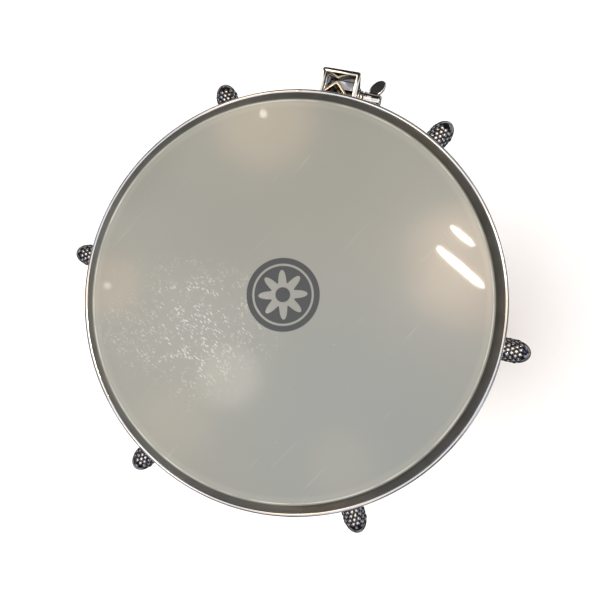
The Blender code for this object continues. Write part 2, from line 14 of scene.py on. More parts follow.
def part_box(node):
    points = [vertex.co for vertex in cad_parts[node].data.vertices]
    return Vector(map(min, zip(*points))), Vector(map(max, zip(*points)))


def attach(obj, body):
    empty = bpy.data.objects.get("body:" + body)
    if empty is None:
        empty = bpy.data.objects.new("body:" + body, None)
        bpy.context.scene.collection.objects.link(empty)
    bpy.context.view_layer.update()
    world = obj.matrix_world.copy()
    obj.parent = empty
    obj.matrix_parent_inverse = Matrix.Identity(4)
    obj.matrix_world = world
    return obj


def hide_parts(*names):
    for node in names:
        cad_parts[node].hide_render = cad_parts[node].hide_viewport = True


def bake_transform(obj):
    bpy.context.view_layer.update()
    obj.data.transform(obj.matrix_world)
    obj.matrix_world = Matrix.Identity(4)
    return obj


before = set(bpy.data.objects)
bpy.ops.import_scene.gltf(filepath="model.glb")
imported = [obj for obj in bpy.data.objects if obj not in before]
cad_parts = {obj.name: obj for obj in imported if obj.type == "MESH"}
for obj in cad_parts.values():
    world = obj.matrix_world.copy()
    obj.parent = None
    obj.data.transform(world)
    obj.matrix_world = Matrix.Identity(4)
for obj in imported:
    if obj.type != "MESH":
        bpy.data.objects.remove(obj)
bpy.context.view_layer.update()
RANDOM = np.random.default_rng(7)


# ---- sizes, from the frame
def low(node):
    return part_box(node)[0]


def high(node):
    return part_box(node)[1]


HEAD_TOP = high("head_film").z
FILM_RADIUS = high("head_film").y  # outside of the film's short collar
FILM_EDGE = low("head_film").z
FILM_THICK = 0.0003
GAP = 0.0003  # left between pieces that almost touch
CLEAR = 0.005  # how far a cutter reaches past what it cuts
COLLAR = high("shell_bowl").y
BEARING_TOP = high("shell_bowl").z
EDGE_ROUND = 0.0018
WALL = 0.0016
SHOULDER_HEIGHT = 0.405
NECK = 0.05
SPIGOT_LOW = low("shell_bowl").z
SOCKET = 0.0521
SOCKET_HIGH = high("shell_foot").z
FOOT_RIM = high("shell_foot").y
FOOT_EDGE = low("shell_foot").z
RUBBER_OUTER = high("foot_ring").y
RUBBER_HIGH = high("foot_ring").z

FLESH_LOW, FLESH_HIGH = low("flesh_hoop").z, high("flesh_hoop").z
FLESH_INNER, FLESH_OUTER = 0.1179, high("flesh_hoop").y
SKIRT_LOW = 0.4488
SKIRT_INNER, SKIRT_OUTER = 0.1209, 0.1222
BEAD_RADIUS = 0.0014
BEAD_CENTRE = (high("counter_hoop").y - BEAD_RADIUS, high("counter_hoop").z - BEAD_RADIUS)
LIP_RADIUS, LIP_LOW, LIP_HIGH = 0.1196, 0.4568, 0.4582
EAR_OUTER, EAR_WIDTH = 0.1283, 0.012
EAR_LOW, EAR_HIGH, EAR_HOLE_TOP = 0.4465, 0.456, 0.4549
SEAM_ANGLE = 39.0  # degrees round from +X, where the hoop's ends are welded
WELD_HEIGHT, WELD_WIDTH = 0.00012, 0.0007

LUG_COUNT = 6
LUG_ANGLES = [360.0 * i / LUG_COUNT for i in range(LUG_COUNT)]
LUG_BACK, NOSE_TIP = low("lug_1").x, high("lug_1").x
LUG_HALF_WIDTH = high("lug_1").y
LUG_AXIS = 0.445
NOSE_START = 0.139
LUG_LOW = low("lug_1").z
LUG_PLATE_FRONT = 0.1204
UNDER_HOOP = 0.4453
UNDER_EAR = EAR_LOW - 0.0036
LUG_SEAT = 0.4388
LUG_SCREW_HEIGHT = 0.4245
BOLT_CIRCLE = 0.1249
BOLT_LOW, BOLT_TOP = low("tuning_bolt_1").z, high("tuning_bolt_1").z
BOLT_HEAD_HEIGHT = 0.005
BOLT_HEAD_RADIUS = high("tuning_bolt_1").y
KNURLS = 36
HEX_RADIUS, HEX_DEPTH = 0.0023, 0.0028
BOLT_RADIUS, BOLT_HOLE = 0.0024, 0.0027

LUG_SCREW_RADIUS, LUG_SCREW_HOLE, LUG_SCREW_END = 0.002, 0.0023, 0.1211

CLAMP_ANGLE = 29.4
ROD_X, ROD_Y, CLAMP_HEIGHT = 0.1333, 0.002, 0.446
ROD_RADIUS, ROD_PLAY = 0.0038, 0.0006
PLATE = 0.0024
BRACKET_BACK, BRACKET_OUTER = 0.118, 0.1444
BRACKET_LEFT, BRACKET_RIGHT = 0.01115, 0.01265
BRACKET_TOP, FLANGE_LOW = high("bracket_body").z, low("bracket_body").z
BRACKET_LOW = 0.428
BRACKET_SCREWS = {"upper": 0.438, "lower": 0.418}
BRACKET_SCREW_RADIUS, BRACKET_SCREW_HOLE, BRACKET_SCREW_END = 0.0024, 0.0027, 0.1212
BLOCK_BACK = 0.1262
BLOCK_LOW, BLOCK_HIGH = low("clamp_block").z, high("clamp_block").z
EYE_OUTER, EYE_INNER, EYE_DEPTH, EYE_ROOM = 0.0083, 0.0056, 0.006, 0.0005
WINDOW_HALF_HEIGHT = 0.0037
SHAFT_RADIUS, SHAFT_HOLE, SHAFT_END = 0.0029, 0.0033, 0.0282
WASHER_END, WASHER_RADIUS = 0.0141, 0.006
SPRING_START, SPRING_END, SPRING_RADIUS = 0.0144, 0.0161, 0.005
WING_LONG, WING_SHORT, WING_THICK = 0.006, 0.0037, 0.0024  # half its length, half its width
WING_MIDDLE, WING_LEAN = (0.0083, 0.0074), 38.0
NUT_START, NUT_LENGTH = 0.0164, 0.0114
SCREW_HEAD, SCREW_WASHER = (0.1114, 0.1136), (0.1139, 0.1149)
SCREW_WASHER_WIDE = 2.3  # times its screw's radius

PRINT_CENTRE, PRINT_RADIUS = (0.0016, 0.0014), 0.0213  # the disc printed on the head
WORN_PATCH = (-0.047, 0.03)  # middle of the most played part of the head
COOL_PATCH = (-0.025, -0.08)  # middle of the head's greyer side
THREAD_PITCH, THREAD_STEPS = 0.0008, 36  # and steps round a thread
ROUND = 256  # steps round the large pieces


# ---- outlines
def arc(centre, radius, start, end, steps):
    """Points on an arc, from one angle to another in degrees."""
    angles = np.radians(np.linspace(start, end, steps + 1))
    return [(centre[0] + radius * cos(a), centre[1] + radius * sin(a)) for a in angles]


def bezier(start, start_handle, end_handle, end, steps):
    """Points on a cubic curve, without its first point."""
    t = np.linspace(0.0, 1.0, steps + 1)[1:, None]
    corners = [np.array(p) for p in (start, start_handle, end_handle, end)]
    weights = ((1 - t) ** 3, 3 * t * (1 - t) ** 2, 3 * t * t * (1 - t), t**3)
    return [tuple(p) for p in sum(w * c for w, c in zip(weights, corners))]


def straight(start, end, steps):
    """Points on a line, without its first point."""
    t = np.linspace(0.0, 1.0, steps + 1)[1:, None]
    return [tuple(p) for p in np.array(start) * (1 - t) + np.array(end) * t]


def rounded(corners, radius, steps=4):
    """A closed outline with each corner rounded. A corner may give its own radius as a third number."""
    points = []
    count = len(corners)
    for i, corner in enumerate(corners):
        here = np.array(corner[:2])
        before = np.array(corners[i - 1][:2]) - here
        after = np.array(corners[(i + 1) % count][:2]) - here
        wanted = corner[2] if len(corner) > 2 else radius
        reach = min(wanted, 0.49 * np.linalg.norm(before), 0.49 * np.linalg.norm(after))
        start = here + before / np.linalg.norm(before) * reach
        end = here + after / np.linalg.norm(after) * reach
        for t in np.linspace(0.0, 1.0, steps + 1):
            points.append(tuple((1 - t) ** 2 * start + 2 * t * (1 - t) * here + t * t * end))
    return points


def side_normals(outline):
    """Unit vectors to the left of the way an open outline runs."""
    along = np.gradient(np.array(outline), axis=0)
    along /= np.linalg.norm(along, axis=1)[:, None]
    return np.stack([-along[:, 1], along[:, 0]], axis=1)


def walled(outer, thickness):
    """Closes an open outline into a wall: down the outer side and back up the inner one."""
    inner = np.array(outer) - side_normals(outer) * thickness
    return list(outer) + [tuple(p) for p in inner[::-1]]


# ---- meshes
MERGE = 1e-7  # points nearer to each other than this are one


def new_object(name, data):
    made = bpy.data.objects.new(name, data)
    bpy.context.scene.collection.objects.link(made)
    return made


def from_shape(name, shape):
    """A new object from a bmesh, which is freed."""
    mesh = bpy.data.meshes.new(name)
    shape.to_mesh(mesh)
    shape.free()
    return new_object(name, mesh)


def full_turn(steps):
    """Angles spread evenly once round."""
    return np.linspace(0.0, 2 * pi, steps, endpoint=False)


def sealed(mesh):
    """Merges points that coincide, and turns every face outward."""
    shape = bmesh.new()
    shape.from_mesh(mesh)
    bmesh.ops.remove_doubles(shape, verts=shape.verts, dist=MERGE)
    bmesh.ops.recalc_face_normals(shape, faces=shape.faces)
    shape.to_mesh(mesh)
    shape.free()
    return mesh


def smooth(piece, corner=38.0):
    piece.data.shade_smooth()
    piece.data.set_sharp_from_angle(angle=radians(corner))
    return piece


def grid(name, points, close_rows=False):
    """A mesh over rows of rings of points. Each ring closes on itself."""
    rows, columns, _ = points.shape
    index = np.arange(rows * columns).reshape(rows, columns)
    here = index if close_rows else index[:-1]
    after = np.roll(index, -1, 0) if close_rows else index[1:]
    faces = np.stack([here, np.roll(here, -1, 1), np.roll(after, -1, 1), after], -1)
    mesh = bpy.data.meshes.new(name)
    mesh.from_pydata(points.reshape(-1, 3).tolist(), [], faces.reshape(-1, 4).tolist())
    return smooth(new_object(name, sealed(mesh)))


def rings(outline, steps):
    """The points of an outline of (radius, height) spun about Z, as rows of rings."""
    outline = np.array(outline)
    angles = full_turn(steps)
    x = outline[:, :1] * np.cos(angles)
    y = outline[:, :1] * np.sin(angles)
    z = np.repeat(outline[:, 1:2], steps, axis=1)
    return np.stack([x, y, z], axis=-1)


def lathe(name, outline, steps=ROUND, closed=True):
    return grid(name, rings(outline, steps), close_rows=closed)


def prism(name, outline, start, end):
    """A closed outline of (x, y) points made solid between two heights."""
    shape = bmesh.new()
    base = shape.faces.new([shape.verts.new((x, y, start)) for x, y in outline])
    made = bmesh.ops.extrude_face_region(shape, geom=[base])["geom"]
    top = [v for v in made if isinstance(v, bmesh.types.BMVert)]
    bmesh.ops.translate(shape, verts=top, vec=(0, 0, end - start))
    made = from_shape(name, shape)
    sealed(made.data)
    return made


def rod(name, radius, start, end, steps=48, end_radius=None):
    """A round bar or cone between two points."""
    start, end = Vector(start), Vector(end)
    shape = bmesh.new()
    last = radius if end_radius is None else end_radius
    length = (end - start).length
    bmesh.ops.create_cone(
        shape, cap_ends=True, segments=steps, radius1=radius, radius2=last, depth=length
    )
    turn = (end - start).to_track_quat("Z", "Y").to_matrix().to_4x4()
    shape.transform(Matrix.Translation((start + end) / 2) @ turn)
    return from_shape(name, shape)


def block(name, low_corner, high_corner):
    low_corner, high_corner = Vector(low_corner), Vector(high_corner)
    shape = bmesh.new()
    bmesh.ops.create_cube(shape, size=1.0)
    size = Matrix.Diagonal((*(high_corner - low_corner), 1.0))
    shape.transform(Matrix.Translation((low_corner + high_corner) / 2) @ size)
    return from_shape(name, shape)


def apply_modifiers(piece):
    graph = bpy.context.evaluated_depsgraph_get()
    mesh = bpy.data.meshes.new_from_object(piece.evaluated_get(graph))
    piece.modifiers.clear()
    piece.data = mesh
    return piece


def combine(piece, tool, operation):
    """Joins the tool on, or cuts it out, and removes it."""
    step = piece.modifiers.new(tool.name, "BOOLEAN")
    step.operation = operation
    step.solver = "EXACT"
    step.object = tool
    apply_modifiers(piece)
    bpy.data.objects.remove(tool, do_unlink=True)
    return piece


def cut(piece, tool):
    return combine(piece, tool, "DIFFERENCE")


def join(piece, tool):
    return combine(piece, tool, "UNION")


def ease(piece, width, segments=3, corner=30.0):
    """Rounds the piece's corners."""
    step = piece.modifiers.new("Easing", "BEVEL")
    step.width = width
    step.segments = segments
    step.limit_method = "ANGLE"
    step.angle_limit = radians(corner)
    return smooth(apply_modifiers(piece))


def cast(piece, cell, passes):
    """Remeshes a joined shape finely and relaxes it, for the soft inner corners of a casting."""
    step = piece.modifiers.new("Even", "REMESH")
    step.mode = "VOXEL"
    step.voxel_size = cell
    relax = piece.modifiers.new("Relax", "SMOOTH")
    relax.factor = 0.5
    relax.iterations = passes
    apply_modifiers(piece)
    piece.data.shade_smooth()
    return piece


LIE_DOWN = Matrix.Rotation(radians(90.0), 4, "X")  # turns the Z axis to point along -Y


def around(degrees):
    return Matrix.Rotation(radians(degrees), 4, "Z")


def along_x(height):
    """Turns a piece made up the Z axis so that it points outward along X at a height."""
    return Matrix.Translation((0, 0, height)) @ Matrix.Rotation(radians(90.0), 4, "Y")


def placed(piece, matrix):
    piece.data.transform(matrix)
    return piece


def finished(piece, material, slot, body, *nodes):
    """Gives a piece its material and its body, and hides the CAD nodes that it stands for."""
    piece.data.materials.clear()
    piece.data.materials.append(material)
    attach(piece, body)
    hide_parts(*nodes)


def one_for_each_lug(master, name, material, slot, body, *nodes):
    """Finished copies at the lugs' angles. A {} in a body or node stands for the copy's number."""
    for number, angle in enumerate(LUG_ANGLES, 1):
        mesh = master.data.copy()
        mesh.transform(around(angle))
        own = [node.format(number) for node in nodes]
        finished(new_object(f"{name}_{number}", mesh), material, slot, body.format(number), *own)
    bpy.data.objects.remove(master, do_unlink=True)


# ---- surfaces
class Nodes:
    """A node tree in the making: each call adds one node and gives back its output."""

    def __init__(self, tree, coordinates):
        self.tree = tree
        self.place = self.node("TexCoord", {}, coordinates)

    def node(self, kind, inputs, output=0, **settings):
        made = self.tree.nodes.new("ShaderNode" + kind)
        for key, value in settings.items():
            setattr(made, key, value)
        for key, value in inputs.items():
            if isinstance(value, bpy.types.NodeSocket):
                self.tree.links.new(value, made.inputs[key])
            else:
                made.inputs[key].default_value = value
        return made.outputs[output]

    def stretched(self, scale, turn=(0.0, 0.0, 0.0), shift=(0.0, 0.0, 0.0)):
        inputs = {"Vector": self.place, "Scale": scale, "Rotation": turn, "Location": shift}
        return self.node("Mapping", inputs)

    def noise(self, scale, detail=4.0, place=None, distortion=0.0):
        inputs = {"Vector": place or self.place, "Scale": scale, "Detail": detail}
        inputs["Distortion"] = distortion
        return self.node("TexNoise", inputs)

    def cells(self, scale, place=None, output="Distance"):
        return self.node("TexVoronoi", {"Vector": place or self.place, "Scale": scale}, output)

    def between(self, value, start, end, low_value=0.0, high_value=1.0):
        """Maps a range of the value to another range, clamped at both ends."""
        inputs = {"Value": value, "From Min": start, "From Max": end}
        inputs.update({"To Min": low_value, "To Max": high_value})
        return self.node("MapRange", inputs, interpolation_type="SMOOTHSTEP")

    def patchy(self, scale, detail, *ranges):
        """Noise, with a range of it mapped as above."""
        return self.between(self.noise(scale, detail), *ranges)

    def maths(self, operation, first, second=0.0):
        return self.node("Math", {0: first, 1: second}, operation=operation)

    def times(self, first, second):
        return self.maths("MULTIPLY", first, second)

    def most(self, first, second):
        return self.maths("MAXIMUM", first, second)

    def blend(self, factor, first, second, way="MIX"):
        """A colour between two, each a socket or an (r, g, b) of linear values."""
        colours = [c if isinstance(c, bpy.types.NodeSocket) else (*c, 1.0) for c in (first, second)]
        inputs = {0: factor, 6: colours[0], 7: colours[1]}
        return self.node("Mix", inputs, 2, data_type="RGBA", blend_type=way)

    def bump(self, height, strength, distance, normal=None):
        inputs = {"Height": height, "Strength": strength, "Distance": distance}
        if normal is not None:
            inputs["Normal"] = normal
        return self.node("Bump", inputs)


class Surface(Nodes):
    """A Principled material, with its constants set on the shader itself."""

    def __init__(self, name, **constants):
        self.material = bpy.data.materials.new(name)
        self.material.use_nodes = True
        super().__init__(self.material.node_tree, "Object")
        self.shader = self.tree.nodes["Principled BSDF"]
        for socket, value in constants.items():
            self.shader.inputs[socket.replace("_", " ")].default_value = value

    def feed(self, colour, rough=None, normal=None):
        """Links what is given to the shader, and gives back the material."""
        for socket, source in (("Base Color", colour), ("Roughness", rough), ("Normal", normal)):
            if source is not None:
                self.tree.links.new(source, self.shader.inputs[socket])
        return self.material


def scratch_height(surface, scale=1.0):
    """Fine hairlines in two directions, as a height."""
    first = surface.noise(1.0, 2.0, surface.stretched((2600 * scale, 90 * scale, 700 * scale)))
    turned = surface.stretched((110 * scale, 2300 * scale, 900 * scale), (0.3, 0.2, 0.7))
    second = surface.noise(1.0, 2.0, turned)
    return surface.most(first, second)


def smudged(metal, bright, dull, smooth_end, rough_end):
    """The colour and roughness of plated metal under finger smudges."""
    smudge = metal.noise(55.0, 6.0, distortion=0.6)
    colour = metal.blend(metal.between(smudge, 0.42, 0.72), bright, dull)
    return colour, metal.between(smudge, 0.35, 0.75, smooth_end, rough_end)


def polished_metal(name, bright, dull, smooth_end, rough_end, spots):
    """Plated metal with finger smudges, hairlines and small dull spots."""
    metal = Surface(name, Metallic=1.0)
    colour, rough = smudged(metal, bright, dull, smooth_end, rough_end)
    pit = metal.between(metal.cells(380.0), 0.02, 0.1, 1.0, 0.0)
    pit = metal.times(metal.times(pit, metal.patchy(40.0, 3.0, 0.5, 0.62)), spots)
    colour = metal.blend(pit, colour, tuple(0.35 * c for c in dull))
    rough = metal.maths("ADD", rough, metal.times(pit, 0.4))
    normal = metal.bump(scratch_height(metal), 0.06, 0.00004)
    normal = metal.bump(metal.noise(420.0, 5.0), 0.04, 0.00003, normal)
    return metal.feed(colour, rough, normal)


def beaded_chrome(bright, dull):
    """Chrome with painted shade: near-black between its beads, and darker over its nose as a painted
    dark reflection.
    """
    metal = Surface("beaded_chrome", Metallic=1.0)
    painted_shade = metal.node("Attribute", {}, "Fac", attribute_name="painted_shade")
    painted_shade = metal.times(painted_shade, metal.patchy(700.0, 3.0, 0.2, 0.6, 0.75, 1.0))
    colour, rough = smudged(metal, bright, dull, 0.03, 0.1)
    # Painted shade: near-black colour between the beads, and a painted dark reflection over the nose.
    colour = metal.blend(painted_shade, colour, (0.035, 0.033, 0.034))
    rough = metal.maths("ADD", rough, metal.times(painted_shade, 0.12))
    normal = metal.bump(scratch_height(metal), 0.05, 0.00004)
    return metal.feed(colour, rough, normal)


def hammered_metal():
    """Plated shell metal, dulled a little in its hammer marks."""
    metal = Surface("hammered_shell", Metallic=1.0)
    hollow = metal.node("Attribute", {}, "Fac", attribute_name="hollow")
    smudge = metal.noise(22.0, 6.0, distortion=0.8)
    colour = metal.blend(metal.between(smudge, 0.38, 0.7), (0.66, 0.655, 0.64), (0.54, 0.525, 0.5))
    colour = metal.blend(metal.between(hollow, 0.0, 1.0, 0.45, 0.0), colour, (0.8, 0.795, 0.78))
    rough = metal.between(smudge, 0.3, 0.75, 0.1, 0.26)
    normal = metal.bump(scratch_height(metal, 0.6), 0.1, 0.00006)
    normal = metal.bump(metal.noise(260.0, 4.0), 0.1, 0.0001, normal)
    return metal.feed(colour, rough, normal)


def far_from(surface, x, y):
    """Each point's distance from an upright line through (x, y), and that distance along X and Y."""
    parts = surface.node("SeparateXYZ", {"Vector": surface.place}, "X")
    across = surface.maths("SUBTRACT", parts, x)
    upward = surface.maths("SUBTRACT", parts.node.outputs["Y"], y)
    squares = [surface.maths("POWER", side, 2.0) for side in (across, upward)]
    return surface.maths("SQRT", surface.maths("ADD", *squares)), across, upward


def printed_ink(film, x, y, radius):
    """How much ink lies at each point of a printed disc with a rosette and a ring left out."""
    distance, across, upward = far_from(film, x, y)
    reach = film.maths("DIVIDE", distance, radius)
    turn = film.maths("ARCTAN2", upward, across)
    wave = film.maths("COSINE", film.times(turn, 8.0))
    petal = film.maths("ADD", film.times(wave, 0.17), 0.5)
    inside = film.between(film.maths("SUBTRACT", reach, petal), -0.012, 0.012, 1.0, 0.0)
    eye = film.between(reach, 0.19, 0.214)
    ring = film.maths("ABSOLUTE", film.maths("SUBTRACT", reach, 0.81))
    ring = film.between(ring, 0.018, 0.04, 1.0, 0.0)
    pale = film.most(film.times(inside, eye), ring)
    disc = film.between(reach, 0.988, 1.008, 1.0, 0.0)
    return film.times(disc, film.maths("SUBTRACT", 1.0, pale))


def nicks(film, scale, turn, thin, wide):
    """Short bright strokes, all lying one way."""
    place = film.stretched((1.0, 0.38, 1.0), (0.0, 0.0, turn))
    return film.between(film.cells(scale, place), thin, wide, 1.0, 0.0)


def film_wear(film):
    """Playing marks, from 0 to 1: nicks, thick in one worn patch, and fine hairlines. And the patch."""
    distance = far_from(film, *WORN_PATCH)[0]
    ragged = film.times(film.noise(20.0, 4.0), 0.07)
    patch = film.between(film.maths("ADD", distance, ragged), 0.038, 0.094, 1.0, 0.0)
    strokes = nicks(film, 760.0, 0.5, 0.14, 0.4)
    strokes = film.most(strokes, nicks(film, 940.0, -0.7, 0.12, 0.38))
    kept = film.patchy(190.0, 3.0, 0.42, 0.58)
    worn = film.times(film.times(strokes, kept), patch)
    stray = film.between(film.cells(135.0), 0.02, 0.05, 1.0, 0.0)
    stray = film.times(stray, film.patchy(13.0, 2.0, 0.46, 0.6))
    hair = 0.0
    for scale, turn, seed in ((420.0, 0.9, 2.0), (460.0, -0.35, 5.0), (400.0, 1.7, 9.0)):
        place = film.stretched((14.0, scale, 1.0), (0.0, 0.0, turn), (seed, seed, 0.0))
        line = film.between(film.noise(1.0, 1.0, place, 0.8), 0.7, 0.76)
        line = film.times(line, film.patchy(17.0 + seed, 2.0, 0.5, 0.6))
        hair = film.most(hair, line)
    marks = film.most(worn, film.times(stray, 0.45))
    return film.most(marks, film.times(hair, 0.1)), patch


def film_rim(film, colour):
    """A paler band by the bearing edge, a painted highlight line along it, and painted shade round the
    outside of the bend, where it turns down into the collar.
    """
    radius = far_from(film, 0.0, 0.0)[0]
    band = film.between(radius, FILM_RADIUS - 0.0065, FILM_RADIUS - 0.004, 0.0, 0.4)
    colour = film.blend(band, colour, (0.262, 0.266, 0.23))
    # Painted highlight: a pale line along the film's bend, where the bend would catch the light.
    from_highlight_line = film.maths("ABSOLUTE", film.maths("SUBTRACT", radius, FILM_RADIUS - 0.0019))
    line = film.between(from_highlight_line, 0.00015, 0.0005, 1.0, 0.0)
    line = film.times(line, film.patchy(45.0, 3.0, 0.35, 0.6, 0.1, 0.7))
    colour = film.blend(line, colour, (0.62, 0.59, 0.5))
    # Painted shade: near-black colour round the outside of the bend, for the shadow where the film
    # turns down into the collar.
    painted_shade = film.between(radius, FILM_RADIUS - 0.0008, FILM_RADIUS - 0.0004, 0.0, 0.85)
    height = film.node("SeparateXYZ", {"Vector": film.place}, "Z")
    painted_shade = film.times(painted_shade, film.between(height, HEAD_TOP - 0.004, HEAD_TOP - 0.0026))
    return film.blend(painted_shade, colour, (0.05, 0.049, 0.042))


def film_plastic():
    """Hazy drumhead film with playing marks and a printed disc that bears a plain rosette."""
    film = Surface("head_film_plastic", IOR=1.5, Coat_Weight=0.55, Coat_Roughness=0.04)
    cloud = film.noise(9.0, 2.0)
    colour = film.blend(film.between(cloud, 0.25, 0.75), (0.2, 0.201, 0.176), (0.219, 0.218, 0.19))
    cool = film.between(far_from(film, *COOL_PATCH)[0], 0.02, 0.12, 1.0, 0.0)
    colour = film.blend(film.times(cool, 0.75), colour, (0.197, 0.216, 0.21))
    fine = film.noise(900.0, 2.0)
    colour = film.blend(film.between(fine, 0.2, 0.8, 0.0, 0.12), colour, (0.18, 0.177, 0.155))
    colour = film_rim(film, colour)
    wear, patch = film_wear(film)
    colour = film.blend(film.times(patch, 0.3), colour, (0.27, 0.27, 0.245))
    ink_grain = film.patchy(1500.0, 3.0, 0.3, 0.7)
    ink = film.blend(ink_grain, (0.01, 0.013, 0.017), (0.02, 0.024, 0.029))
    colour = film.blend(film.times(wear, 0.52), colour, (0.72, 0.71, 0.67))
    printed = film.times(printed_ink(film, *PRINT_CENTRE, PRINT_RADIUS), 0.96)
    colour = film.blend(printed, colour, ink)
    rough = film.patchy(30.0, 3.0, 0.3, 0.7, 0.3, 0.36)
    normal = film.bump(film.noise(700.0, 2.0), 0.05, 0.00005)
    normal = film.bump(wear, 0.3, 0.00006, normal)
    return film.feed(colour, rough, normal)


def zinc_steel():
    """Zinc-plated steel with its cloudy crystals and turning marks."""
    steel = Surface("zinc_plated_steel", Metallic=1.0)
    crystals = steel.cells(700.0, output="Color")
    tone = steel.node("SeparateXYZ", {"Vector": crystals}, "X")
    colour = steel.blend(tone, (0.5, 0.5, 0.49), (0.6, 0.6, 0.575))
    stain = steel.patchy(120.0, 4.0, 0.5, 0.75, 0.0, 0.35)
    colour = steel.blend(stain, colour, (0.42, 0.385, 0.33))
    rough = steel.between(tone, 0.0, 1.0, 0.24, 0.4)
    normal = steel.bump(scratch_height(steel, 1.4), 0.2, 0.00005)
    return steel.feed(colour, rough, normal)


def dull_aluminium():
    """Extruded aluminium with fine drawing lines round the hoop."""
    metal = Surface("dull_aluminium", Metallic=1.0)
    lines = metal.noise(1.0, 3.0, metal.stretched((60.0, 60.0, 6000.0)))
    colour = metal.blend(lines, (0.4, 0.4, 0.395), (0.54, 0.54, 0.53))
    rough = metal.patchy(80.0, 4.0, 0.3, 0.7, 0.36, 0.52)
    normal = metal.bump(lines, 0.25, 0.00008)
    return metal.feed(colour, rough, normal)


def black_rubber():
    """Moulded rubber with a fine orange-peel skin, dust and scuffs."""
    rubber = Surface("black_rubber", Specular_IOR_Level=0.35)
    dust = rubber.patchy(45.0, 6.0, 0.48, 0.75, 0.0, 0.5)
    colour = rubber.blend(dust, (0.018, 0.018, 0.019), (0.075, 0.072, 0.068))
    scuff = rubber.between(rubber.noise(1.0, 4.0, rubber.stretched((700, 60, 300))), 0.62, 0.75)
    colour = rubber.blend(rubber.times(scuff, 0.4), colour, (0.16, 0.155, 0.15))
    rough = rubber.patchy(150.0, 3.0, 0.3, 0.7, 0.55, 0.8)
    normal = rubber.bump(rubber.noise(1400.0, 3.0), 0.35, 0.0001)
    return rubber.feed(colour, rough, normal)


# ---- shell
HAMMER_SPACING = 0.0088
HAMMER_DEPTH = 0.00034
HAMMERED_BOWL = (0.4075, 0.242)  # highest and lowest marks
HAMMERED_FOOT = (0.206, 0.015)
SHELL_ROUND = 440


def hammer_centres(outline):
    """Where each hammer blow fell: staggered rings down an outline, a little uneven."""
    points = np.array(outline)
    steps = np.linalg.norm(np.diff(points, axis=0), axis=1)
    distance = np.concatenate([[0.0], np.cumsum(steps)])
    centres = []
    for row, along in enumerate(np.arange(0.3 * HAMMER_SPACING, distance[-1], 0.86 * HAMMER_SPACING)):
        radius = np.interp(along, distance, points[:, 0])
        count = max(8, round(2 * pi * radius / HAMMER_SPACING))
        for k in range(count):
            uneven = RANDOM.uniform(-0.16, 0.16, 2) * HAMMER_SPACING
            angle = 2 * pi * (k + 0.5 * (row % 2)) / count + uneven[0] / radius
            here = along + uneven[1]
            at = np.interp(here, distance, points[:, 0])
            height = np.interp(here, distance, points[:, 1])
            centres.append((at * cos(angle), at * sin(angle), height))
    return centres


def hammered_wall(name, outer, fade_high, fade_low):
    """A thin spun wall whose outer side is dented by hammer marks between two heights."""
    profile = walled(outer, WALL)
    points = rings(profile, SHELL_ROUND)
    normals = side_normals(outer)
    marked = [p for p in outer if fade_low <= p[1] <= fade_high]
    centres = hammer_centres(marked)
    tree = kdtree.KDTree(len(centres))
    for number, centre in enumerate(centres):
        tree.insert(centre, number)
    tree.balance()
    angles = full_turn(SHELL_ROUND)
    for row, (_, height) in enumerate(outer):
        if not fade_low < height < fade_high:
            continue
        edge = min(height - fade_low, fade_high - height) / (0.6 * HAMMER_SPACING)
        strength = HAMMER_DEPTH * min(1.0, edge)
        across, upward = normals[row]
        parts = (across * np.cos(angles), across * np.sin(angles), np.full(SHELL_ROUND, upward))
        inward = np.stack(parts, axis=-1)
        reach = np.array([tree.find(p)[2] for p in points[row]]) / (0.62 * HAMMER_SPACING)
        dent = strength * np.clip(1.0 - reach**2, 0.0, 1.0)
        points[row] -= inward * dent[:, None]
    piece = grid(name, points, close_rows=True)
    piece.data.set_sharp_from_angle(angle=radians(60.0))
    mark_hollows(piece, outer)
    return piece


def mark_hollows(piece, outer):
    """Stores how deep each point lies below the smooth outline, from 0 to 1."""
    co = np.array([v.co for v in piece.data.vertices])
    radius = np.hypot(co[:, 0], co[:, 1])
    line = np.array(outer)[::-1]
    smooth_radius = np.interp(co[:, 2], line[:, 1], line[:, 0])
    depth = np.clip((smooth_radius - radius) / HAMMER_DEPTH, 0.0, 1.0)
    hollow = piece.data.attributes.new("hollow", "FLOAT", "POINT")
    hollow.data.foreach_set("value", depth.astype(np.float32))


def make_bowl(material):
    edge = (COLLAR - EDGE_ROUND, BEARING_TOP - EDGE_ROUND)
    outer = arc(edge, EDGE_ROUND, 90, 0, 8)
    shoulder = (COLLAR, SHOULDER_HEIGHT)
    outer += straight(outer[-1], shoulder, 30)
    outer += bezier(shoulder, (COLLAR, 0.345), (NECK, 0.318), (NECK, 0.24), 130)
    outer += straight((NECK, 0.24), (NECK, SPIGOT_LOW), 6)
    bowl = hammered_wall("bowl_metal", outer, *HAMMERED_BOWL)
    holes = [(LUG_SCREW_HOLE, angle, LUG_SCREW_HEIGHT) for angle in LUG_ANGLES]
    holes += [(BRACKET_SCREW_HOLE, CLAMP_ANGLE, height) for height in BRACKET_SCREWS.values()]
    for radius, angle, height in holes:
        hole = rod("hole", radius, (0, 0, COLLAR - CLEAR), (0, 0, COLLAR + CLEAR))
        cut(bowl, placed(hole, around(angle) @ along_x(height)))
    finished(bowl, material, "shell_metal", "drum", "shell_bowl")


def make_foot(material):
    horn = (NECK, 0.211)
    outer = [(SOCKET, SOCKET_HIGH)]
    outer += straight((SOCKET, SOCKET_HIGH), (SOCKET, 0.219), 6)
    outer += bezier((SOCKET, 0.219), (SOCKET, 0.215), (NECK, 0.215), horn, 8)
    outer += bezier(horn, (0.047, 0.16), (0.06, 0.062), (0.1235, 0.0125), 120)
    outer += bezier((0.1235, 0.0125), (0.1255, 0.0108), (FOOT_RIM, 0.0085), (FOOT_RIM, 0.006), 8)
    outer += straight((FOOT_RIM, 0.006), (FOOT_RIM, FOOT_EDGE), 3)
    foot = hammered_wall("foot_metal", outer, *HAMMERED_FOOT)
    finished(foot, material, "shell_metal", "drum", "shell_foot")


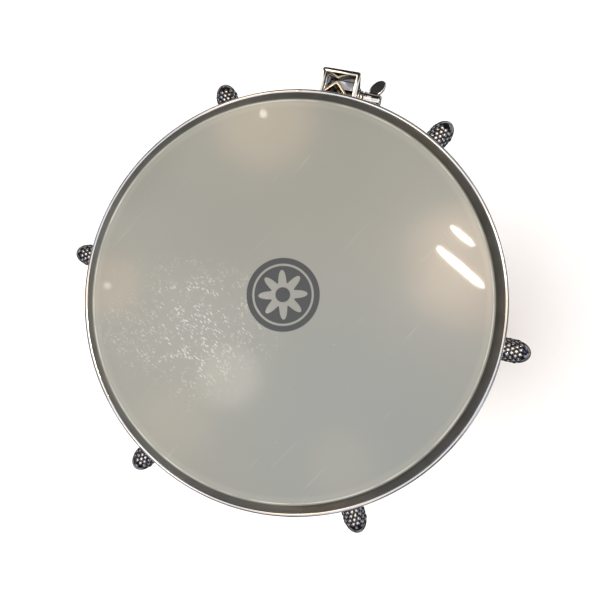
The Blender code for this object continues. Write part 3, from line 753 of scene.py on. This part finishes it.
def make_neck_band(material):
    """A band of three raised beads, with a fine groove between each two."""
    inner = SOCKET + 0.0005
    half, flat, bulge = 0.0075, 0.0011, 0.0033
    middle = (SPIGOT_LOW + SOCKET_HIGH) / 2
    outline = [(inner, middle - half), (inner, middle + half)]
    for t in np.linspace(1.0, -1.0, 81):
        swell = bulge * sqrt(max(0.0, 1.0 - t * t))
        groove = 0.00045 * exp(-(((abs(t) - 0.36) / 0.045) ** 2))
        outline.append((inner + flat + swell - groove, middle + half * t))
    band = lathe("neck_band", outline, 192)
    finished(band, material, "chrome", "drum", "neck_ring")


def make_foot_edging(material):
    """Rubber edging with a ribbed outer face and a groove for the foot's metal rim."""
    outer, inner = FOOT_RIM + 0.0004, FOOT_RIM - WALL - 0.0004
    outline = [(outer, RUBBER_HIGH), (0.1291, RUBBER_HIGH, 0.0011)]
    for height in (0.007, 0.0052, 0.0034):
        outline += [(RUBBER_OUTER, height + 0.0005), (RUBBER_OUTER - 0.0005, height)]
        outline += [(RUBBER_OUTER, height - 0.0005)]
    outline += [(RUBBER_OUTER, 0.0), (0.1219, 0.0), (0.1219, 0.0065), (inner, 0.0065)]
    outline += [(inner, 0.0024), (outer, 0.0024)]
    edging = lathe("foot_edging", rounded(outline, 0.0007, 3), 220)
    finished(edging, material, "rubber", "drum", "foot_ring")


# ---- head and hoops
def make_film(material):
    """The film: flat, over the bearing edge, and down into the collar that the flesh hoop holds."""
    bend = FILM_RADIUS - (COLLAR - EDGE_ROUND)
    centre = (COLLAR - EDGE_ROUND, HEAD_TOP - bend)
    outer = [(0.0, HEAD_TOP)] + straight((0.0, HEAD_TOP), (centre[0] - 0.004, HEAD_TOP), 24)
    outer += straight(outer[-1], (centre[0], HEAD_TOP), 4)[:-1]
    outer += arc(centre, bend, 90, 0, 12)
    outer += straight(outer[-1], (FILM_RADIUS, FILM_EDGE), 10)
    film = lathe("film_sheet", walled(outer, FILM_THICK), closed=False)
    film.data.materials.append(material)
    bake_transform(film)
    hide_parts("head_film")


def make_flesh_ring(material):
    corners = [(FLESH_INNER, FLESH_HIGH), (FLESH_OUTER, FLESH_HIGH)]
    corners += [(FLESH_OUTER, FLESH_LOW), (FLESH_INNER, FLESH_LOW)]
    ring = lathe("flesh_ring", rounded(corners, 0.0009))
    finished(ring, material, "flesh_aluminium", "tuning_hoop", "flesh_hoop")


def make_hoop(chrome):
    """The counter hoop: skirt, lip, sloping face and rolled bead, with a weld where its ends meet."""
    corners = [
        (LIP_RADIUS, LIP_LOW, 0.0003),
        (LIP_RADIUS, LIP_HIGH, 0.0007),
        (BEAD_CENTRE[0] - 0.0011, BEAD_CENTRE[1] + 0.001, 0.0004),
    ]
    face = rounded(corners + [(SKIRT_OUTER, 0.4612, 0.0001)], 0.0004, 6)[: 3 * 7]
    bead = arc(BEAD_CENTRE, BEAD_RADIUS, 132, -112, 30)
    skirt = [(SKIRT_OUTER, 0.461), (SKIRT_OUTER, SKIRT_LOW), (SKIRT_INNER, SKIRT_LOW)]
    skirt += [(SKIRT_INNER, LIP_LOW)]
    tail = rounded(skirt, 0.00035)
    outline = face + bead + tail
    angles = full_turn(3 * ROUND)
    points = rings(outline, len(angles))
    away = (angles - radians(SEAM_ANGLE)) * BEAD_CENTRE[0]
    weld = WELD_HEIGHT * np.exp(-((away / WELD_WIDTH) ** 2))
    outward = np.array(outline) - (SKIRT_INNER + 0.0006, 0.46)
    outward /= np.linalg.norm(outward, axis=1)[:, None]
    points += rings(outward, len(angles)) * weld[:, None]
    hoop = grid("hoop_ring", points, close_rows=True)
    finished(hoop, chrome, "chrome", "tuning_hoop", "counter_hoop")
    ear_low = (SKIRT_OUTER - 0.0006, -EAR_WIDTH / 2, EAR_LOW)
    ear = block("ear", ear_low, (EAR_OUTER, EAR_WIDTH / 2, EAR_HIGH))
    ease(ear, 0.0016, 5)
    hole_start, hole_end = (BOLT_CIRCLE, 0, EAR_LOW - CLEAR), (BOLT_CIRCLE, 0, EAR_HOLE_TOP)
    cut(ear, rod("hole", BOLT_HOLE, hole_start, hole_end))
    smooth(ear)
    one_for_each_lug(ear, "hoop_ear", chrome, "chrome", "tuning_hoop")


# ---- lugs and bolts
BEAD_ROWS, BEADS_ROUND = 5, 14
BEAD_PITCH, BEAD_SIZE, BEAD_HEIGHT = 0.00236, 0.00144, 0.00044
BEADS_START = 0.1302
BEADS_END = 0.1412  # where the painted shade between the beads fades out, over BEADS_FADE
BEADS_FADE = 0.001
# How dark the painted dark reflection over the nose is, from 0 to 1.
NOSE_PAINTED_SHADE = 0.55
SEAT_END = 0.1296  # where the flat under the bullet ends


def bullet(name):
    """The lug's bullet along +X: flat under the hoop, then beaded, then a smooth nose."""
    start = LUG_BACK + 0.001
    length = NOSE_TIP - NOSE_START
    x = np.concatenate([
        np.linspace(start, 0.129, 24), np.linspace(0.1292, 0.142, 62),
        NOSE_START + length * np.sin(np.radians(np.linspace(21.0, 90.0, 30))),
    ])
    nose = np.clip((x - NOSE_START) / length, 0.0, 1.0)
    radius = LUG_HALF_WIDTH * np.sqrt(1.0 - nose**2)
    angles = full_turn(168)
    y = radius[:, None] * np.cos(angles)
    z = radius[:, None] * np.sin(angles)
    points = np.stack([np.repeat(x[:, None], len(angles), 1), y, z], axis=-1)

    tree = kdtree.KDTree(BEAD_ROWS * BEADS_ROUND)
    for row in range(BEAD_ROWS):
        at = BEADS_START + row * BEAD_PITCH
        wide = np.interp(at, x, radius)
        for k in range(BEADS_ROUND):
            angle = 2 * pi * (k + 0.5 * (row % 2)) / BEADS_ROUND
            tree.insert((at, wide * cos(angle), wide * sin(angle)), row)
    tree.balance()
    for row in range(len(x)):
        if not BEADS_START - BEAD_SIZE < x[row] < BEADS_START + BEAD_ROWS * BEAD_PITCH:
            continue
        reach = np.array([tree.find(p)[2] for p in points[row]]) / BEAD_SIZE
        rise = BEAD_HEIGHT * np.clip(1.0 - reach**2, 0.0, 1.0)
        grow = 1.0 + rise / max(radius[row], 0.001)
        points[row, :, 1] *= grow
        points[row, :, 2] *= grow

    notch = EAR_OUTER + 0.0008
    top = np.interp(x, [notch, notch + 0.0004], [UNDER_EAR - LUG_AXIS, 1.0])
    seat = np.interp(x, [SEAT_END, SEAT_END + 0.0005], [LUG_SEAT - LUG_AXIS, -1.0])
    points[:, :, 2] = np.clip(points[:, :, 2], seat[:, None], top[:, None])
    points[:, :, 2] += LUG_AXIS
    points = np.concatenate([points[:1] * [1, 0, 0] + [0, 0, LUG_AXIS - 0.003], points])
    made = grid(name, points)
    mark_painted_shade(made, tree)
    return made


def mark_painted_shade(lug, bead_centres):
    """Notes how much painted shade each point gets: most between the beads, and some on the nose as a
    painted dark reflection.
    """
    painted_shade = lug.data.attributes.new("painted_shade", "FLOAT", "POINT")
    for vertex, held in zip(lug.data.vertices, painted_shade.data):
        x, y, z = vertex.co
        reach = bead_centres.find((x, y, z - LUG_AXIS))[2] / BEAD_SIZE
        between_beads = min(max((reach - 0.5) / 0.35, 0.0), 1.0)
        onto_nose = min(max((x - BEADS_END) / BEADS_FADE, 0.0), 1.0)
        onto_beads = min(max((x - 0.129) / 0.0004, 0.0), 1.0)
        held.value = onto_beads * (1.0 - onto_nose) * between_beads + onto_nose * NOSE_PAINTED_SHADE


def make_lugs(chrome):
    lug = bullet("lug_cast")
    plate_low = (LUG_BACK, -LUG_HALF_WIDTH, LUG_LOW)
    plate = block("plate", plate_low, (LUG_PLATE_FRONT, LUG_HALF_WIDTH, UNDER_EAR))
    join(lug, ease(plate, 0.0011, 4))
    boss_start = (LUG_BACK + 0.0005, 0, LUG_SCREW_HEIGHT)
    boss_end = (LUG_PLATE_FRONT + 0.0018, 0, LUG_SCREW_HEIGHT)
    boss = rod("boss", 0.0048, boss_start, boss_end, end_radius=0.004)
    join(lug, ease(boss, 0.0007, 4))
    hole_start, hole_end = (BOLT_CIRCLE, 0, LUG_SEAT - CLEAR), (BOLT_CIRCLE, 0, UNDER_EAR + CLEAR)
    cut(lug, rod("hole", BOLT_HOLE, hole_start, hole_end))
    thread_end = (LUG_SCREW_END + GAP, 0, LUG_SCREW_HEIGHT)
    cut(lug, rod("thread", LUG_SCREW_HOLE, (LUG_BACK - CLEAR, 0, LUG_SCREW_HEIGHT), thread_end))
    smooth(lug, 45.0)
    one_for_each_lug(lug, "lug_cast", chrome, "chrome", "drum", "lug_{}")


def threaded(name, radius, start, end, depth=0.00032):
    """A threaded shaft up the Z axis, with its first and last turns tapered away."""
    rows = int((end - start) / THREAD_PITCH * 7)
    z = np.linspace(start, end, rows)
    angles = full_turn(THREAD_STEPS)
    phase = (z[:, None] / THREAD_PITCH - angles / (2 * pi)) % 1.0
    crest = np.clip(2.4 * np.abs(phase - 0.5) - 0.1, 0.0, 1.0)
    taper = np.clip(np.minimum(z - start, end - z) / THREAD_PITCH, 0.0, 1.0)[:, None]
    round_ends = depth * (1.0 - taper)
    r = radius - depth * crest * taper - round_ends
    height = np.repeat(z[:, None], THREAD_STEPS, axis=1)
    points = np.stack([r * np.cos(angles), r * np.sin(angles), height], axis=-1)
    cap = points[[0, -1]] * [0, 0, 1]
    return grid(name, np.concatenate([cap[:1], points, cap[1:]]))


def make_tuning_bolts(steel):
    """Socket-head bolts, head down, with knurled heads."""
    z = [0.0, 0.0, 0.0002, 0.0005, 0.0007, 0.0012, 0.004, 0.0044, 0.0048, 0.005, 0.005]
    r = [0.0, 0.86, 0.93, 0.98, 1.0, 1.0, 1.0, 1.0, 0.97, 0.93, 0.0]
    knurl = [0, 0, 0, 0, 0, 1, 1, 0, 0, 0, 0]
    angles = full_turn(4 * KNURLS)
    ridge = 1.0 - 0.028 * (1.0 + np.cos(KNURLS * angles))
    rows = []
    for height, share, ridged in zip(z, r, knurl):
        radius = BOLT_HEAD_RADIUS * share * (ridge if ridged else 1.0)
        level = np.full(len(angles), height)
        rows.append(np.stack([radius * np.cos(angles), radius * np.sin(angles), level], -1))
    bolt = grid("bolt", np.array(rows))
    join(bolt, threaded("shank", BOLT_RADIUS, BOLT_HEAD_HEIGHT - 0.0006, BOLT_TOP - BOLT_LOW))
    cut(bolt, rod("socket", HEX_RADIUS, (0, 0, -CLEAR), (0, 0, HEX_DEPTH), steps=6))
    smooth(bolt, 50.0)
    placed(bolt, Matrix.Translation((BOLT_CIRCLE, 0, BOLT_LOW)))
    one_for_each_lug(bolt, "tuning_thread", steel, "zinc_steel", "bolt_{}", "tuning_bolt_{}")


def washer(name, inner, outer, start, end):
    """A flat washer up the Z axis, with one edge rounded by its punch."""
    edge = 0.2 * (end - start)
    corners = [(inner, start, edge), (inner, end, edge), (outer, end, 2.2 * edge), (outer, start, edge)]
    return lathe(name, rounded(corners, edge), 72)


def pan_screw(name, radius, end):
    """A pan-head screw with a cross recess, up the Z axis from its head."""
    head_start, head_end = SCREW_HEAD
    tall, wide = head_end - head_start, radius * 1.85
    outline = [(0.0, head_start)]
    for a in np.radians(np.linspace(8, 90, 12)):
        outline.append((wide * sin(a), head_start + 0.8 * tall * (1 - cos(a))))
    outline += [(wide, head_end - 0.0001), (wide - 0.0001, head_end), (0.0, head_end)]
    screw = lathe(name, outline, 64, closed=False)
    join(screw, threaded("shank", radius, head_end - 0.0005, end, 0.00025))
    slot, depth = 0.00045, 0.0011
    for long, short in ((0.6 * wide, slot), (slot, 0.6 * wide)):
        recess_low = (-long, -short, head_start - CLEAR)
        cut(screw, block("recess", recess_low, (long, short, head_start + depth)))
    return smooth(screw, 45.0)


def make_washers_and_screws(steel):
    start = BOLT_LOW + BOLT_HEAD_HEIGHT + GAP
    ring = washer("ring", BOLT_HOLE, 0.005, start, LUG_SEAT - GAP)
    placed(ring, Matrix.Translation((BOLT_CIRCLE, 0, 0)))
    one_for_each_lug(ring, "bolt_ring", steel, "zinc_steel", "drum", "bolt_washer_{}")
    screw = pan_screw("screw", LUG_SCREW_RADIUS, LUG_SCREW_END)
    placed(screw, along_x(LUG_SCREW_HEIGHT))
    one_for_each_lug(screw, "lug_fixing", steel, "zinc_steel", "drum", "lug_screw_{}")
    ring = washer("ring", LUG_SCREW_HOLE, SCREW_WASHER_WIDE * LUG_SCREW_RADIUS, *SCREW_WASHER)
    placed(ring, along_x(LUG_SCREW_HEIGHT))
    one_for_each_lug(ring, "lug_ring", steel, "zinc_steel", "drum", "lug_washer_{}")
    wide = SCREW_WASHER_WIDE * BRACKET_SCREW_RADIUS
    for place, height in BRACKET_SCREWS.items():
        screw = pan_screw(f"bracket_fixing_{place}", BRACKET_SCREW_RADIUS, BRACKET_SCREW_END)
        ring = washer(f"bracket_ring_{place}", BRACKET_SCREW_HOLE, wide, *SCREW_WASHER)
        for piece, node in ((screw, "bracket_screw_"), (ring, "bracket_washer_")):
            placed(piece, around(CLAMP_ANGLE) @ along_x(height))
            finished(piece, steel, "zinc_steel", "drum", node + place)


# ---- rod clamp
def make_bracket(chrome):
    """The plate folded to a box, with a window for the bolt's eye and its flange below."""
    left, right, outer, back = BRACKET_LEFT, BRACKET_RIGHT, BRACKET_OUTER, BRACKET_BACK
    corners = [(back, left, 0.0016), (back, -right, 0.0016), (outer, -right, 0.002)]
    corners += [(outer, left, 0.002)]
    plate = prism("clamp_plate", rounded(corners, 0.0004, 8), FLANGE_LOW, BRACKET_TOP)
    corners = [(back + PLATE, left - PLATE), (back + PLATE, PLATE - right)]
    corners += [(outer - PLATE, PLATE - right), (outer - PLATE, left - PLATE)]
    below, above, wide = FLANGE_LOW - 0.01, BRACKET_TOP + 0.02, 0.02  # clear of the plate
    cut(plate, prism("inside", rounded(corners, 0.0006, 6), below, above))
    window_low = (back + PLATE, left - PLATE - 0.002, CLAMP_HEIGHT - WINDOW_HALF_HEIGHT)
    window_high = (outer - PLATE, left + 0.002, CLAMP_HEIGHT + WINDOW_HALF_HEIGHT)
    cut(plate, block("window", window_low, window_high))
    cut(plate, block("below_box", (back + PLATE, -wide, below), (0.16, wide, BRACKET_LOW)))
    cut(plate, block("under_hoop", (0.11, -wide, UNDER_HOOP), (BLOCK_BACK - 0.0004, wide, above)))
    hole_start = (ROD_X, -right - 0.002, CLAMP_HEIGHT)
    cut(plate, rod("shaft_hole", SHAFT_HOLE, hole_start, (ROD_X, -0.005, CLAMP_HEIGHT)))
    for height in BRACKET_SCREWS.values():
        cut(plate, rod("thread", BRACKET_SCREW_HOLE, (0.11, 0, height), (0.124, 0, height)))
    ease(plate, 0.00045, 3, 45.0)
    placed(plate, around(CLAMP_ANGLE))
    finished(plate, chrome, "chrome", "drum", "bracket_body")


def diamond(radius, corner, name, half):
    """A square bar set cornerwise, along Z, from -half to half."""
    corners = [(radius, 0), (0, radius), (-radius, 0), (0, -radius)]
    return prism(name, rounded(corners, corner, 6), -half, half)


def upright_diamond(radius, corner, y, start, end):
    """The same at the rod's place, between two heights."""
    centre = Matrix.Translation((ROD_X, y, (start + end) / 2))
    return placed(diamond(radius, corner, "cutter", (end - start) / 2), centre)


def make_rod_block(casting):
    """The block with a cornerwise hole for the rod, low on the left where the bolt's eye lies."""
    low_corner = (BLOCK_BACK, PLATE + GAP - BRACKET_RIGHT, BLOCK_LOW)
    high_corner = (BRACKET_OUTER - PLATE - GAP, BRACKET_LEFT - PLATE - GAP, BLOCK_HIGH)
    body = block("clamp_rod_block", low_corner, high_corner)
    eye_floor, above = CLAMP_HEIGHT - EYE_DEPTH / 2 - EYE_ROOM, BLOCK_HIGH + 0.005
    cut(body, block("left_step", (0.12, ROD_Y, eye_floor), (0.15, 0.02, above)))
    cut(body, upright_diamond(EYE_OUTER + EYE_ROOM, 0.0006, ROD_Y, eye_floor, above))
    channel_low = (ROD_X - SHAFT_HOLE, -0.015, CLAMP_HEIGHT - SHAFT_HOLE)
    cut(body, block("channel", channel_low, (ROD_X + SHAFT_HOLE, ROD_Y, above)))
    hole = ROD_RADIUS * sqrt(2.0) + ROD_PLAY
    cut(body, upright_diamond(hole, 0.0004, ROD_Y + ROD_PLAY, BLOCK_LOW - 0.002, above))
    ease(body, 0.0003, 2, 45.0)
    placed(body, around(CLAMP_ANGLE))
    finished(body, casting, "chrome", "drum", "clamp_block")


def make_eyebolt(brass):
    half = EYE_DEPTH / 2
    eye = diamond(EYE_OUTER + 0.0004, 0.0016, "clamp_eye", half)
    cut(eye, diamond(EYE_INNER + 0.0002, 0.0009, "hole", half + CLEAR))
    ease(eye, 0.0006, 3, 50.0)
    shaft_start = EYE_INNER + 0.0012  # inside the eye's corner
    shaft = threaded("shaft", SHAFT_RADIUS, 0.0, SHAFT_END - shaft_start, 0.0003)
    placed(shaft, Matrix.Translation((0, -shaft_start, 0)) @ LIE_DOWN)
    join(eye, shaft)
    smooth(eye, 45.0)
    placed(eye, around(CLAMP_ANGLE) @ Matrix.Translation((ROD_X, ROD_Y, CLAMP_HEIGHT)))
    finished(eye, brass, "chrome", "eyebolt", "clamp_eyebolt")


def on_shaft(distance):
    """Lays a piece made up the Z axis along the eyebolt, away from the clamp, at a distance from it."""
    return around(CLAMP_ANGLE) @ Matrix.Translation((ROD_X, -distance, CLAMP_HEIGHT)) @ LIE_DOWN


def make_clamp_washers(steel, brass):
    flat_start = BRACKET_RIGHT + GAP
    flat = washer("clamp_ring", SHAFT_HOLE, WASHER_RADIUS, 0.0, WASHER_END - flat_start)
    placed(flat, on_shaft(flat_start))
    finished(flat, steel, "chrome", "drum", "clamp_washer")
    inner, outer, rise = SHAFT_HOLE, SPRING_RADIUS, 0.0004
    tall = SPRING_END - SPRING_START - rise
    section = rounded([(inner, 0.0), (inner, tall), (outer, tall), (outer, 0.0)], 0.0002, 2)
    turn = np.linspace(radians(5), radians(355), 72)
    rows = []
    for angle in turn:
        lift = rise * angle / (2 * pi)
        rows.append([(r * cos(angle), r * sin(angle), z + lift) for r, z in section])
    ends = [[tuple(np.mean(row, axis=0))] * len(section) for row in (rows[0], rows[-1])]
    spring = grid("clamp_split_ring", np.array([ends[0]] + rows + [ends[1]]))
    placed(spring, on_shaft(SPRING_START))
    finished(spring, brass, "chrome", "drum", "clamp_spring_washer")


def make_wing_nut(chrome):
    """A cast nut: a domed hub that swells at its foot, and two oval wings that lean away."""
    hub = [(0.0, 0.0), (0.0046, 0.0), (0.0049, 0.0004), (0.0049, 0.0016), (0.0046, 0.0022)]
    hub += [(0.0043, 0.005), (0.0042, NUT_LENGTH - 0.0013), (0.0037, NUT_LENGTH - 0.0003)]
    hub += [(0.0028, NUT_LENGTH), (0.0, NUT_LENGTH)]
    nut = lathe("wing_nut_cast", hub, 64, closed=False)
    lean = radians(WING_LEAN)
    for side in (1, -1):
        wing = []
        for x, y in arc((0.0, 0.0), 1.0, 0, 352, 44):
            long, short = WING_LONG * x, WING_SHORT * y
            out = WING_MIDDLE[0] + long * cos(lean) - short * sin(lean)
            wing.append((side * out, WING_MIDDLE[1] + long * sin(lean) + short * cos(lean)))
        plate = prism("wing", wing, -WING_THICK / 2, WING_THICK / 2)
        join(nut, placed(plate, LIE_DOWN))
    cut(nut, rod("thread", SHAFT_HOLE, (0, 0, -CLEAR), (0, 0, NUT_LENGTH - 0.0008)))
    cast(nut, 0.00022, 9)
    placed(nut, on_shaft(NUT_START))
    finished(nut, chrome, "chrome", "wing_nut", "clamp_wing_nut")


def dress_pad(rubber):
    """The pad keeps its CAD shape, with softened edges and the rubber surface."""
    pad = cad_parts["bracket_pad"]
    pad.data.materials.clear()
    pad.data.materials.append(rubber)
    edge = pad.modifiers.new("Soft edge", "BEVEL")
    edge.width = 0.00008
    edge.segments = 2


# ---- camera, light and floor
EYE_POINT = Vector((0.018, -0.0343, 0.7056))
LOOK_POINT = Vector((0.0058, -0.0073, 0.4638))
PHOTO_UP = Vector((0.7352, 0.6767, 0.0386))
LENS, SENSOR = 24.96, 36.0


def make_camera():
    data = bpy.data.cameras.new("camera")
    data.lens = LENS
    data.sensor_width = SENSOR
    data.clip_start = 0.01
    camera = new_object("camera", data)
    forward = (LOOK_POINT - EYE_POINT).normalized()
    right = forward.cross(PHOTO_UP).normalized()
    up = right.cross(forward)
    turn = Matrix((right, up, -forward)).transposed().to_4x4()
    camera.matrix_world = Matrix.Translation(EYE_POINT) @ turn
    bpy.context.scene.camera = camera
    return right, up


def lamp(name, place, target, size, power, colour, mirrored=True):
    """A soft lamp, round, or a tube lying along Y if its size is a length and a width. One that
    isn't mirrored doesn't show in glossy surfaces."""
    data = bpy.data.lights.new(name, "AREA")
    turn = (Vector(place) - Vector(target)).to_track_quat("Z", "Y").to_matrix().to_4x4()
    if isinstance(size, tuple):
        data.shape = "ELLIPSE"
        data.size_y, data.size = size
        turn = Matrix.Identity(4)
    else:
        data.shape = "DISK"
        data.size = size
    data.energy = power
    data.color = colour
    made = new_object(name, data)
    made.matrix_world = Matrix.Translation(place) @ turn
    made.visible_glossy = mirrored


# Where each ceiling lamp's reflection lies on the head, its size and its power
CEILING = HEAD_TOP + 1.7
CEILING_LAMPS = {
    "tube_near": ((0.0792, -0.0607), (0.27, 0.028), 3.6),
    "tube_far": ((0.0926, -0.0501), (0.13, 0.02), 1.1),
    "top": ((0.0716, 0.0824), 0.036, 0.06),
    "left": ((-0.0668, 0.0841), 0.032, 0.03),
}
# Warm patches of light in the room: where each one's reflection lies on the head, how many
# degrees it spreads to, and its colour
GLOWS = [
    ((0.0835, -0.064), 10.0, (4.8, 2.8, 1.6)),
    ((0.07, 0.08), 8.5, (4.0, 2.6, 1.3)),
    ((-0.0668, 0.0841), 5.5, (3.2, 2.0, 1.0)),
    ((-0.0962, -0.0016), 6.0, (1.7, 1.1, 0.55)),
    ((-0.0544, -0.008), 5.5, (4.4, 4.0, 3.3)),
    ((-0.0452, -0.087), 6.0, (1.5, 1.0, 0.5)),
]
# A dark part of the ceiling: its direction, and how many degrees it spreads to
DARK_CORNER = (Vector((0.472, 0.375, 0.798)), 12.5)


def mirrored_from(x, y):
    """The direction that the camera sees mirrored at a point of the head."""
    away = Vector((x, y, HEAD_TOP)) - EYE_POINT
    away.z = -away.z
    return away.normalized()


def make_room():
    """A pale background, over the room that glossy surfaces mirror: pale far off at floor level,
    dim walls with some windows above, a light ceiling, and warm patches of light."""
    world = bpy.data.worlds.new("room")
    world.use_nodes = True
    bpy.context.scene.world = world
    room = Nodes(world.node_tree, "Generated")

    def near(direction):
        """The cosine of the angle from a direction."""
        inputs = {0: room.place, 1: direction}
        return room.node("VectorMath", inputs, "Value", operation="DOT_PRODUCT")

    height = room.node("SeparateXYZ", {"Vector": room.place}, "Z")
    window = room.between(room.noise(2.9, 3.0, distortion=0.3), 0.56, 0.59)
    window = room.times(window, room.between(height, 0.02, 0.08))
    bluish = room.patchy(2.2, 1.0, 0.46, 0.56)
    panes = room.blend(bluish, (1.35, 1.1, 0.88), (0.8, 0.86, 1.35))
    dim = room.blend(room.noise(1.4, 3.0), (0.01, 0.009, 0.008), (0.045, 0.045, 0.052))
    colour = room.blend(window, dim, panes)
    level = room.between(height, -0.1, 0.02, 1.0, 0.0)
    level = room.times(level, room.between(height, -0.5, -0.34))
    patches = room.patchy(2.4, 2.0, 0.38, 0.62)
    colour = room.blend(level, colour, room.blend(patches, (0.3, 0.3, 0.3), (0.85, 0.84, 0.82)))
    breaks = room.patchy(4.5, 2.0, 0.38, 0.44, 0.1, 1.0)
    breaks = room.most(breaks, room.between(height, 0.84, 0.88))
    ceiling = room.times(room.between(height, 0.74, 0.8), breaks)
    edge = cos(radians(DARK_CORNER[1]))
    dark = room.between(near(DARK_CORNER[0].normalized()), edge, edge + 0.008, 1.0, 0.02)
    colour = room.blend(room.times(ceiling, dark), colour, (1.0, 1.0, 0.985))
    for place, spread, tint in GLOWS:
        glow = room.between(near(mirrored_from(*place)), cos(radians(spread)), 1.0)
        colour = room.blend(glow, colour, tint, "ADD")
    seen = room.node("LightPath", {}, "Is Camera Ray")
    colour = room.blend(seen, colour, (0.93, 0.935, 0.94))
    background = world.node_tree.nodes["Background"]
    world.node_tree.links.new(colour, background.inputs["Color"])


def make_studio(right, up):
    """A pale floor, and lamps placed along the picture's own right and up."""
    flat_right = Vector((right.x, right.y, 0.0)).normalized()
    flat_up = Vector((up.x, up.y, 0.0)).normalized()

    def spot(across, upward, height):
        return flat_right * across + flat_up * upward + Vector((0, 0, height))

    head = Vector((0, 0, HEAD_TOP))
    daylight = (0.97, 0.985, 1.0)
    lamp("key", spot(-2.2, 0.5, 4.4), head, 2.4, 136.0, daylight, mirrored=False)
    lamp("side", spot(-1.0, -0.3, 2.0), head, 0.9, 12.0, daylight, mirrored=False)
    lamp("fill", spot(1.0, -0.8, 4.6), head, 3.2, 16.0, (0.8, 0.91, 1.0), mirrored=False)
    for name, ((x, y), size, power) in CEILING_LAMPS.items():
        on_head = Vector((x, y, HEAD_TOP))
        away = mirrored_from(x, y)
        place = on_head + away * ((CEILING - HEAD_TOP) / away.z)
        lamp("lamp_" + name, place, on_head, size, power, (1.0, 0.9, 0.76))

    shape = bmesh.new()
    bmesh.ops.create_circle(shape, cap_ends=True, segments=96, radius=4.0)
    floor = from_shape("floor", shape)
    pale = Surface("floor_paper", Roughness=0.9, Specular_IOR_Level=0.1)
    tone = pale.blend(pale.noise(3.0, 3.0), (0.9, 0.9, 0.9), (0.93, 0.93, 0.925))
    floor.data.materials.append(pale.feed(tone))
    floor.visible_glossy = False  # the chrome mirrors the dim room instead, as if stood on dark ground


# ---- the whole drum
def main():
    dull = (0.66, 0.655, 0.645)
    chrome = polished_metal("polished_chrome", (0.76, 0.76, 0.765), dull, 0.03, 0.11, 0.5)
    # Painted shade: the rod block is a duller casting, its colour also made darker and bluer to stand
    # in for the shade inside the bracket.
    casting = polished_metal("dull_casting_painted_shade", (0.36, 0.37, 0.41), (0.22, 0.23, 0.26), 0.14, 0.32, 0.6)
    warm = polished_metal("warm_plating", (0.74, 0.66, 0.5), (0.6, 0.5, 0.36), 0.1, 0.24, 0.6)
    hammered = hammered_metal()
    steel = zinc_steel()
    rubber = black_rubber()
    make_bowl(hammered)
    make_foot(hammered)
    make_neck_band(chrome)
    make_foot_edging(rubber)
    make_film(film_plastic())
    make_flesh_ring(dull_aluminium())
    make_hoop(chrome)
    make_lugs(beaded_chrome((0.78, 0.78, 0.785), dull))
    make_tuning_bolts(steel)
    make_washers_and_screws(steel)
    make_bracket(chrome)
    make_rod_block(casting)
    make_eyebolt(warm)
    make_clamp_washers(chrome, warm)
    make_wing_nut(chrome)
    dress_pad(rubber)
    make_room()
    make_studio(*make_camera())
    bpy.context.scene.view_settings.view_transform = "Standard"


main()
